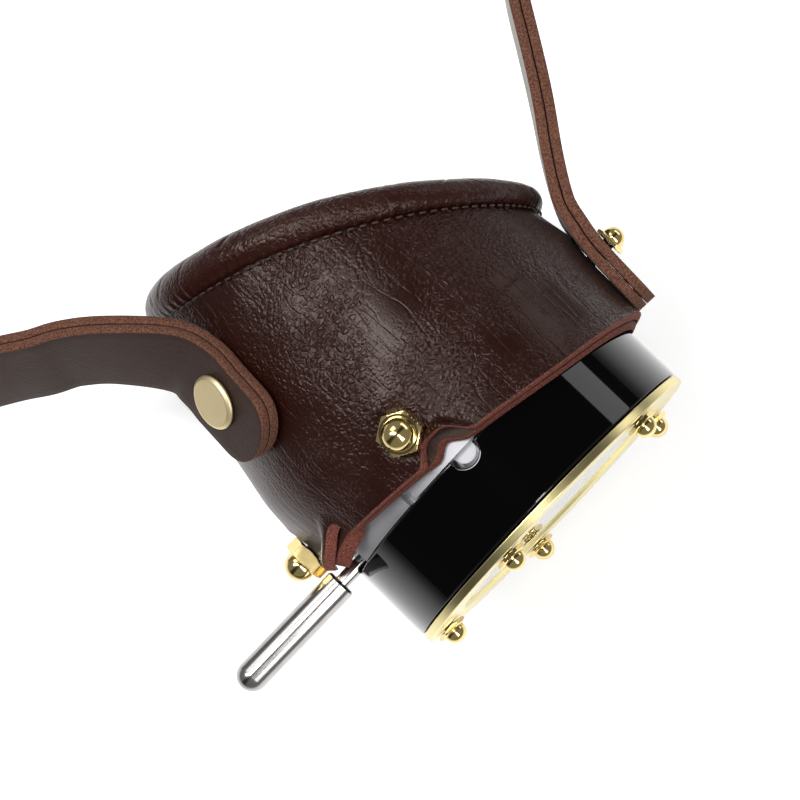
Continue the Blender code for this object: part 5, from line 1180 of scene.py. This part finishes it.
# %% Left strap
SLOT_LENGTH, SLOT_WIDTH, SLOT_SPARE, FOLD_STATIONS = 0.0095, 0.003, 0.001, 12
bar_place = np.array((0.0, LOOP_BACK_Y, BACK_Z))
middle, out, up, width, wander = strap_line(left_route(), -BACK_FLAT_SHARE * LOOP_HALF_WIDTH, 0.0)
near_bar = np.where(middle[:, 1] > LOOP_BACK_Y - FOLD_TAPER, smooth_step(1 + middle[:, 0] / FOLD_TAPER), 0.0)
offset = (LAYER_OFFSET + (FOLD_OFFSET - LAYER_OFFSET) * near_bar)[:, None]
bend = np.radians(np.linspace(90, -90, FOLD_STATIONS + 2)[1:-1])[:, None]
round_bar = np.concatenate([np.cos(bend), np.sin(bend), 0 * bend], axis=1)
fold_up, fold_width = np.ones_like(bend) * (0, 0, 1), np.ones(FOLD_STATIONS)
outward = strap_rows(middle + out * offset, out, up, width, wander)
fold = strap_rows(bar_place + round_bar * FOLD_OFFSET, round_bar, fold_up, fold_width, 0 * fold_width)
inward = strap_rows(middle - out * offset, -out, up, width, -wander)[::-1]
rows = np.concatenate([outward, fold, inward])
left_strap = surface("left_strap_bridle", rows, sharp_deg=80.0, values=strap_values(len(rows)))
slot_centre = FOLD_OFFSET + STRAP_LEATHER - SLOT_LENGTH / 2 + SLOT_SPARE
slot = oval_tool("slot", slot_centre, SLOT_LENGTH / 2 + SLOT_SPARE, SLOT_WIDTH / 2)
cut_away(left_strap, slot)
dress(left_strap, STRAP_LEATHER_FINISH, "strap_leather", ["left_strap"])

# %% Right strap
HOLE_LENGTH, HOLE_WIDTH, HOLE_PITCH, HOLE_COUNT = 0.0072, 0.0026, 0.013, 3
TONGUE_LIE, TONGUE_OVER_FRAME, TONGUE_START_GAP = 0.00315, 0.0043, 0.0045
TONGUE_SHARES = (
    (1.75, TONGUE_LIE / 3),
    (1.3, TONGUE_LIE / 3),
    (0.85, TONGUE_LIE / 2),
    (0.22, TONGUE_OVER_FRAME),
    (-0.12, TONGUE_OVER_FRAME),
    (-0.85, TONGUE_LIE * 1.02),
    (-1.4, TONGUE_LIE),
    (-TONGUE_LENGTH / FRAME_REACH, TONGUE_LIE),
)
tongue = spline([bar_place + (FRAME_REACH * share, lift, 0) for share, lift in TONGUE_SHARES], 10)
straight_end = tongue[0][0] + TONGUE_START_GAP
middle, out, up, width, wander = strap_line(right_route(), BACK_FLAT_SHARE * LOOP_HALF_WIDTH, straight_end)
slope = np.gradient(tongue, axis=0)
tongue_out = unit(np.stack([-slope[:, 1], slope[:, 0], 0 * slope[:, 0]], axis=1))
tongue_out *= np.where(tongue_out[:, 1:2] < 0, -1, 1)
tongue_up = np.ones((len(tongue), 1)) * (0, 0, 1)
tongue_width = tip_width(np.linalg.norm(tongue - tongue[-1], axis=1))
outer_loop = strap_rows(middle + out * LAYER_OFFSET, out, up, width, wander)
outer_tongue = strap_rows(tongue, tongue_out, tongue_up, tongue_width, 0 * tongue_width)
rows = np.concatenate([outer_loop, outer_tongue])
right_outer = surface("right_strap_outer_bridle", rows, sharp_deg=80.0, values=strap_values(len(rows)))
centres = [FRAME_REACH / 2 - HOLE_PITCH * i for i in range(HOLE_COUNT)]
cut_away(right_outer, *[oval_tool(f"hole_{i}", x, HOLE_LENGTH / 2, HOLE_WIDTH / 2) for i, x in enumerate(centres)])
dress(right_outer, STRAP_LEATHER_FINISH, "strap_leather", ["right_strap_outer"])

rows = strap_rows(middle - out * LAYER_OFFSET, -out, up, width, -wander)
right_inner = surface("right_strap_inner_bridle", rows, sharp_deg=80.0, values=strap_values(len(rows), flesh_and_reflection=True))
dress(right_inner, STRAP_INNER_FINISH, "strap_leather", ["right_strap_inner"])

# %% Strap nut and rivet
CUP_THICKNESS = 2 * LEATHER + LAYER_GAP
strap_seat = float(np.hypot(*right_seat(SCREW_Y, 1.0)[[0, 2]])) + SEAT_GAP
strap_bench = bench(polar(strap_seat, STRAP_NUT_DEG, SCREW_Y), polar(1.0, STRAP_NUT_DEG, 0.0))
acorn_nut("acorn_nut_strap", SMALL_NUT, strap_bench, "strap_nut")

CAP_RADIUS, CAP_HEIGHT, POST_RADIUS, BURR_RADIUS, CAP_TOP_RADIUS = 0.0048, 0.0009, 0.0014, 0.00384, 0.004224
RIVET_EASE, BURR_GAP = 0.0002, 0.0007
inside, outside = CUP_THICKNESS + BURR_GAP, STRAP_STAND_OFF + STRAP_THICKNESS + SEAT_GAP
place, direction, _ = rivet_axis()
rivet_corners = [
    (0, -inside - CAP_HEIGHT),
    (BURR_RADIUS, -inside - CAP_HEIGHT),
    (BURR_RADIUS, -inside),
    (POST_RADIUS, -inside),
    (POST_RADIUS, outside),
    (CAP_RADIUS, outside),
    (CAP_RADIUS, outside + CAP_HEIGHT / 2),
    (CAP_TOP_RADIUS, outside + CAP_HEIGHT),
    (0, outside + CAP_HEIGHT),
]
rivet = turned("rivet_cap", rivet_corners, RIVET_EASE, bench(place, direction), closed=False, count=96)
dress(rivet, CAP_BRASS, "polished_brass", ["strap_rivet"])

# %% [markdown]
# ## Buckle and keeper
#
# The buckle is a small cast brass frame on a pin of drawn brass, with a prong that lifts. The frame's worn edges
# are a bevel on a copy of its part. The keeper is a loop of strap leather that holds the tongue down.

# %% Buckle
BAR_RADIUS, FRAME_HALF_HEIGHT, FRAME_RAIL, FRAME_THICKNESS, FRAME_RISE_DEG = 0.001, 0.0106, 0.0025, 0.002, 15.0
PRONG_RADIUS, PRONG_START_GAP, PRONG_TIP_STATIONS = 0.0008, 0.0006, 6
EYE_GAP, EYE_WALL, EYE_HALF_HEIGHT = 0.00015, 0.0009, 0.0011
BRASS_EASE, FRAME_WEAR, FRAME_CORNER_DEG = 0.0002, 0.0004, 40.0
bar_bench = bench(bar_place, (0, 0, 1))
bar_profile = rod(BAR_RADIUS, -FRAME_HALF_HEIGHT, FRAME_HALF_HEIGHT)
bar = turned("buckle_bar_drawn", bar_profile, BRASS_EASE, bar_bench, closed=False, count=48)
dress(bar, NUT_BRASS, "polished_brass", ["buckle_bar"])
frame_copy = smooth_copy("buckle_frame", "buckle_frame_cast", NUT_BRASS, "polished_brass")
bevel = frame_copy.modifiers.new("worn_edges", "BEVEL")
bevel.width, bevel.segments = FRAME_WEAR, 3
bevel.limit_method, bevel.angle_limit = "ANGLE", np.radians(FRAME_CORNER_DEG)


def prong_rows():
    """A rod along the line from the eye to beyond the rail, its radius times sqrt(1 - x^4) near the tip."""
    turn = np.radians(FRAME_RISE_DEG)
    lift, rail = FRAME_THICKNESS / 2 + SEAT_GAP + PRONG_RADIUS, FRAME_REACH + FRAME_RAIL / 2
    ahead, side = np.array((np.cos(turn), np.sin(turn), 0)), np.array((-np.sin(turn), np.cos(turn), 0))
    tip = ahead * rail + side * lift
    start = unit(tip) * (BAR_RADIUS + PRONG_START_GAP)
    line = bar_place + spline([start, (start + tip) / 2, tip, tip + ahead * FRAME_RAIL / 2], 12)
    along = unit(np.gradient(line, axis=0))
    across = np.stack([-along[:, 1], along[:, 0], 0 * along[:, 0]], axis=1)
    from_end = len(line) - 1 - np.arange(len(line))
    x = np.clip(1 - from_end / PRONG_TIP_STATIONS, 0, 1)
    radius = (PRONG_RADIUS * np.sqrt(1 - x**4))[:, None, None]
    radius[0] = 0
    angle = np.radians(even_degrees(20))[None, :, None]
    ring = across[:, None] * np.cos(angle) + np.array((0, 0, 1)) * np.sin(angle)
    return line[:, None] + ring * radius


bore, rim = BAR_RADIUS + EYE_GAP, BAR_RADIUS + EYE_GAP + EYE_WALL
eye_profile = [(r, h * EYE_HALF_HEIGHT) for r, h in ((bore, -1), (rim, -1), (rim, 1), (bore, 1))]
eye = turned("buckle_prong_eye", eye_profile, BRASS_EASE, bar_bench, count=48)
dress(eye, NUT_BRASS, "polished_brass", ["buckle_prong"], "prong")
arm = surface("buckle_prong_arm", prong_rows(), sharp_deg=60.0)
dress(arm, NUT_BRASS, "polished_brass", ["buckle_prong"], "prong")

# %% Keeper
KEEPER_X, KEEPER_WIDTH, KEEPER_WALL = 0.024, 0.007, 0.0013
KEEPER_LOW_Y, KEEPER_HIGH_Y, KEEPER_HALF_Z, KEEPER_STATIONS = -0.00225, 0.00435, 0.0078, 160


def keeper_rows():
    """A rounded rectangle round the strap, |y|^8 + |z|^8 = 1, whose section is a strip with rounded cut edges."""
    angle = np.radians(even_degrees(KEEPER_STATIONS))[:, None]
    side, corner, high, raw = strap_columns()
    shape = (np.abs(np.cos(angle)) ** 8 + np.abs(np.sin(angle)) ** 8) ** (-1 / 8)
    wall = KEEPER_WALL / 2 * (1 + high[None])
    centre_y, half_y = (KEEPER_LOW_Y + KEEPER_HIGH_Y) / 2, (KEEPER_HIGH_Y - KEEPER_LOW_Y) / 2
    y = LOOP_BACK_Y + centre_y + (half_y + wall) * np.cos(angle) * shape
    z = BACK_Z + (KEEPER_HALF_Z + wall) * np.sin(angle) * shape
    half = KEEPER_WIDTH / 2
    x = -KEEPER_X + side * (half - EDGE_CORNER) + side * EDGE_CORNER * corner
    return np.stack(np.broadcast_arrays(x[None], y, z), axis=-1), np.tile(raw, (KEEPER_STATIONS, 1))


rows, raw = keeper_rows()
keeper = surface("keeper_loop", rows, close_rows=True, sharp_deg=80.0, values={"raw": raw})
dress(keeper, STRAP_LEATHER_FINISH, "strap_leather", ["strap_keeper"])

# %% [markdown]
# ## Table and light
#
# The table is white, and so is all that the camera sees beyond it. A gloss black tube shows what stands round it, so
# the room matters as much as the lamps. A black cloth hangs overhead from left to right, which keeps the tube black,
# and on both sides of it metal sees a dim ceiling. In metal and glass the table is white near the piece and darkens
# to the left and the right, so that it draws soft shapes there. A weak large lamp behind the piece brings out the
# grain. A bright long one, to the left and behind, draws the highlight along the cup. One stands in front, a long
# narrow one hangs overhead, and a strip on the right draws a grey band on the tube. The room gives an even light to
# matt things.

# %% Table
REST_Z, TABLE_GAP = -0.0385393, 0.0001
TABLE_HALF, TABLE_GLOW, TABLE_FADE = 0.45, 0.34, 0.2
SPECK_MM = 20.0
MIRRORS = ("Is Glossy Ray", "Is Transmission Ray")


def seen_ray(tree, *kinds):
    """1 for rays of these kinds, the largest of the light path's outputs."""
    path = tree.nodes.new("ShaderNodeLightPath")
    found = path.outputs[kinds[0]]
    for kind in kinds[1:]:
        found = add(tree, "Math", [found, path.outputs[kind]], operation="MAXIMUM")
    return found


corners = [(TABLE_HALF * x, TABLE_HALF * y, REST_Z - TABLE_GAP) for x, y in ((-1, -1), (1, -1), (1, 1), (-1, 1))]
table_mesh = bpy.data.meshes.new("table")
table_mesh.from_pydata(corners, [], [(0, 1, 2, 3)])
table = bpy.data.objects.new("table", table_mesh)
bpy.context.collection.objects.link(table)
paint, tree, shader, place = new_material("white_table_paint")
speck = add(tree, "TexNoise", {"Vector": place, "Scale": per_metre(SPECK_MM)})
tone = add(tree, "Mix", {"Factor": speck, "A": "f4f4f4", "B": "f6f6f6"}, data_type="RGBA")
# Painted shade: in metal and glass the table turns grey and stops glowing away from x = 0, standing in for a table
# that is lit less towards its ends.
across = add(tree, "SeparateXYZ", [place], take="X")
square = add(tree, "Math", [across, across], operation="MULTIPLY")
scaled = add(tree, "Math", [square, -1 / TABLE_FADE**2], operation="MULTIPLY")
near = add(tree, "Math", [scaled], operation="EXPONENT")
away = add(tree, "Math", [1.0, near], operation="SUBTRACT")
dim = add(tree, "Math", [away, seen_ray(tree, *MIRRORS)], operation="MULTIPLY")
lit = add(tree, "Mix", {"Factor": dim, "A": seen_ray(tree, "Is Camera Ray", *MIRRORS), "B": 0.0}, data_type="FLOAT")
glow = add(tree, "Math", [lit, TABLE_GLOW], operation="MULTIPLY")
tone = add(tree, "Mix", {"Factor": dim, "A": tone, "B": "5a5a5a"}, data_type="RGBA")
fill(tree, shader, {"Base Color": tone, "Roughness": 0.9, "Specular IOR Level": 0.1})
fill(tree, shader, {"Emission Color": "ffffff", "Emission Strength": glow})
table.data.materials.append(paint)
print("table at z", REST_Z - TABLE_GAP)

# %% World
ROOM_LIGHT, CLOTH, CEILING, FAR_TABLE = 0.36, 0.03, 0.22, 0.12
CLOTH_MIDDLE, CLOTH_HALF, CLOTH_FADE = 0.08, 0.15, 0.1
TABLE_END, TABLE_END_FADE = -0.13, 0.01
world = bpy.data.worlds.new("studio")
world.use_nodes = True
bpy.context.scene.world = world
tree = world.node_tree
way = add(tree, "SeparateXYZ", [add(tree, "TexCoord", take="Generated")]).node.outputs
off = add(tree, "Math", [way["Y"], CLOTH_MIDDLE], operation="SUBTRACT")
beside = add(tree, "Math", [off], operation="ABSOLUTE")
cloth_edge = {"Value": beside, "From Min": CLOTH_HALF, "From Max": CLOTH_HALF + CLOTH_FADE}
above = add(tree, "MapRange", {**cloth_edge, "To Min": CLOTH, "To Max": CEILING})
horizon = {"Value": way["Z"], "From Min": TABLE_END, "From Max": TABLE_END + TABLE_END_FADE}
mirrored = add(tree, "MapRange", {**horizon, "To Min": FAR_TABLE, "To Max": above})
room = add(tree, "Mix", {"Factor": seen_ray(tree, *MIRRORS), "A": ROOM_LIGHT, "B": mirrored}, data_type="FLOAT")
strength = add(tree, "Mix", {"Factor": seen_ray(tree, "Is Camera Ray"), "A": room, "B": 1.0}, data_type="FLOAT")
fill(tree, tree.nodes["Background"], {"Color": "ffffff", "Strength": strength})
print("room light", ROOM_LIGHT)

# %% Lamps
LAMP_AIM = Vector((0.0, 0.03, 0.0))


def softbox(name, place, along, length, breadth, radiance):
    """A flat lamp facing the piece: its power is radiance x pi x area, and its long side lies along a direction."""
    data = bpy.data.lights.new(name, "AREA")
    data.shape, data.size, data.size_y = "RECTANGLE", length, breadth
    data.energy = radiance * np.pi * length * breadth
    lamp = bpy.data.objects.new(name, data)
    back = (Vector(place) - LAMP_AIM).normalized()
    side = (Vector(along) - back * back.dot(Vector(along))).normalized()
    turn = Matrix((side, back.cross(side), back)).transposed().to_4x4()
    lamp.matrix_world = Matrix.Translation(Vector(place)) @ turn
    bpy.context.collection.objects.link(lamp)
    return lamp


for setting in (
    ("behind", (0.06, 0.78, 0.75), (1, 0, 0), 0.55, 0.45, 2.5),
    ("left_back", (-0.27, 0.38, 0.85), (-0.72, 0.69, 0.0), 0.6, 0.18, 16.0),
    ("front", (-0.02, -0.7, 0.62), (1, 0, 0), 0.3, 0.4, 5.0),
    ("overhead", (-0.01, -0.38, 0.85), (1, 0, 0), 0.13, 0.55, 11.0),
    ("right_strip", (0.6, 0.09, 0.165), (0, 1, 0), 0.5, 0.2, 1.7),
):
    lamp = softbox(*setting)
    print("lamp", lamp.name, round(lamp.data.energy, 2), "W")

# %% Finish
bpy.context.scene.view_settings.view_transform = "Standard"
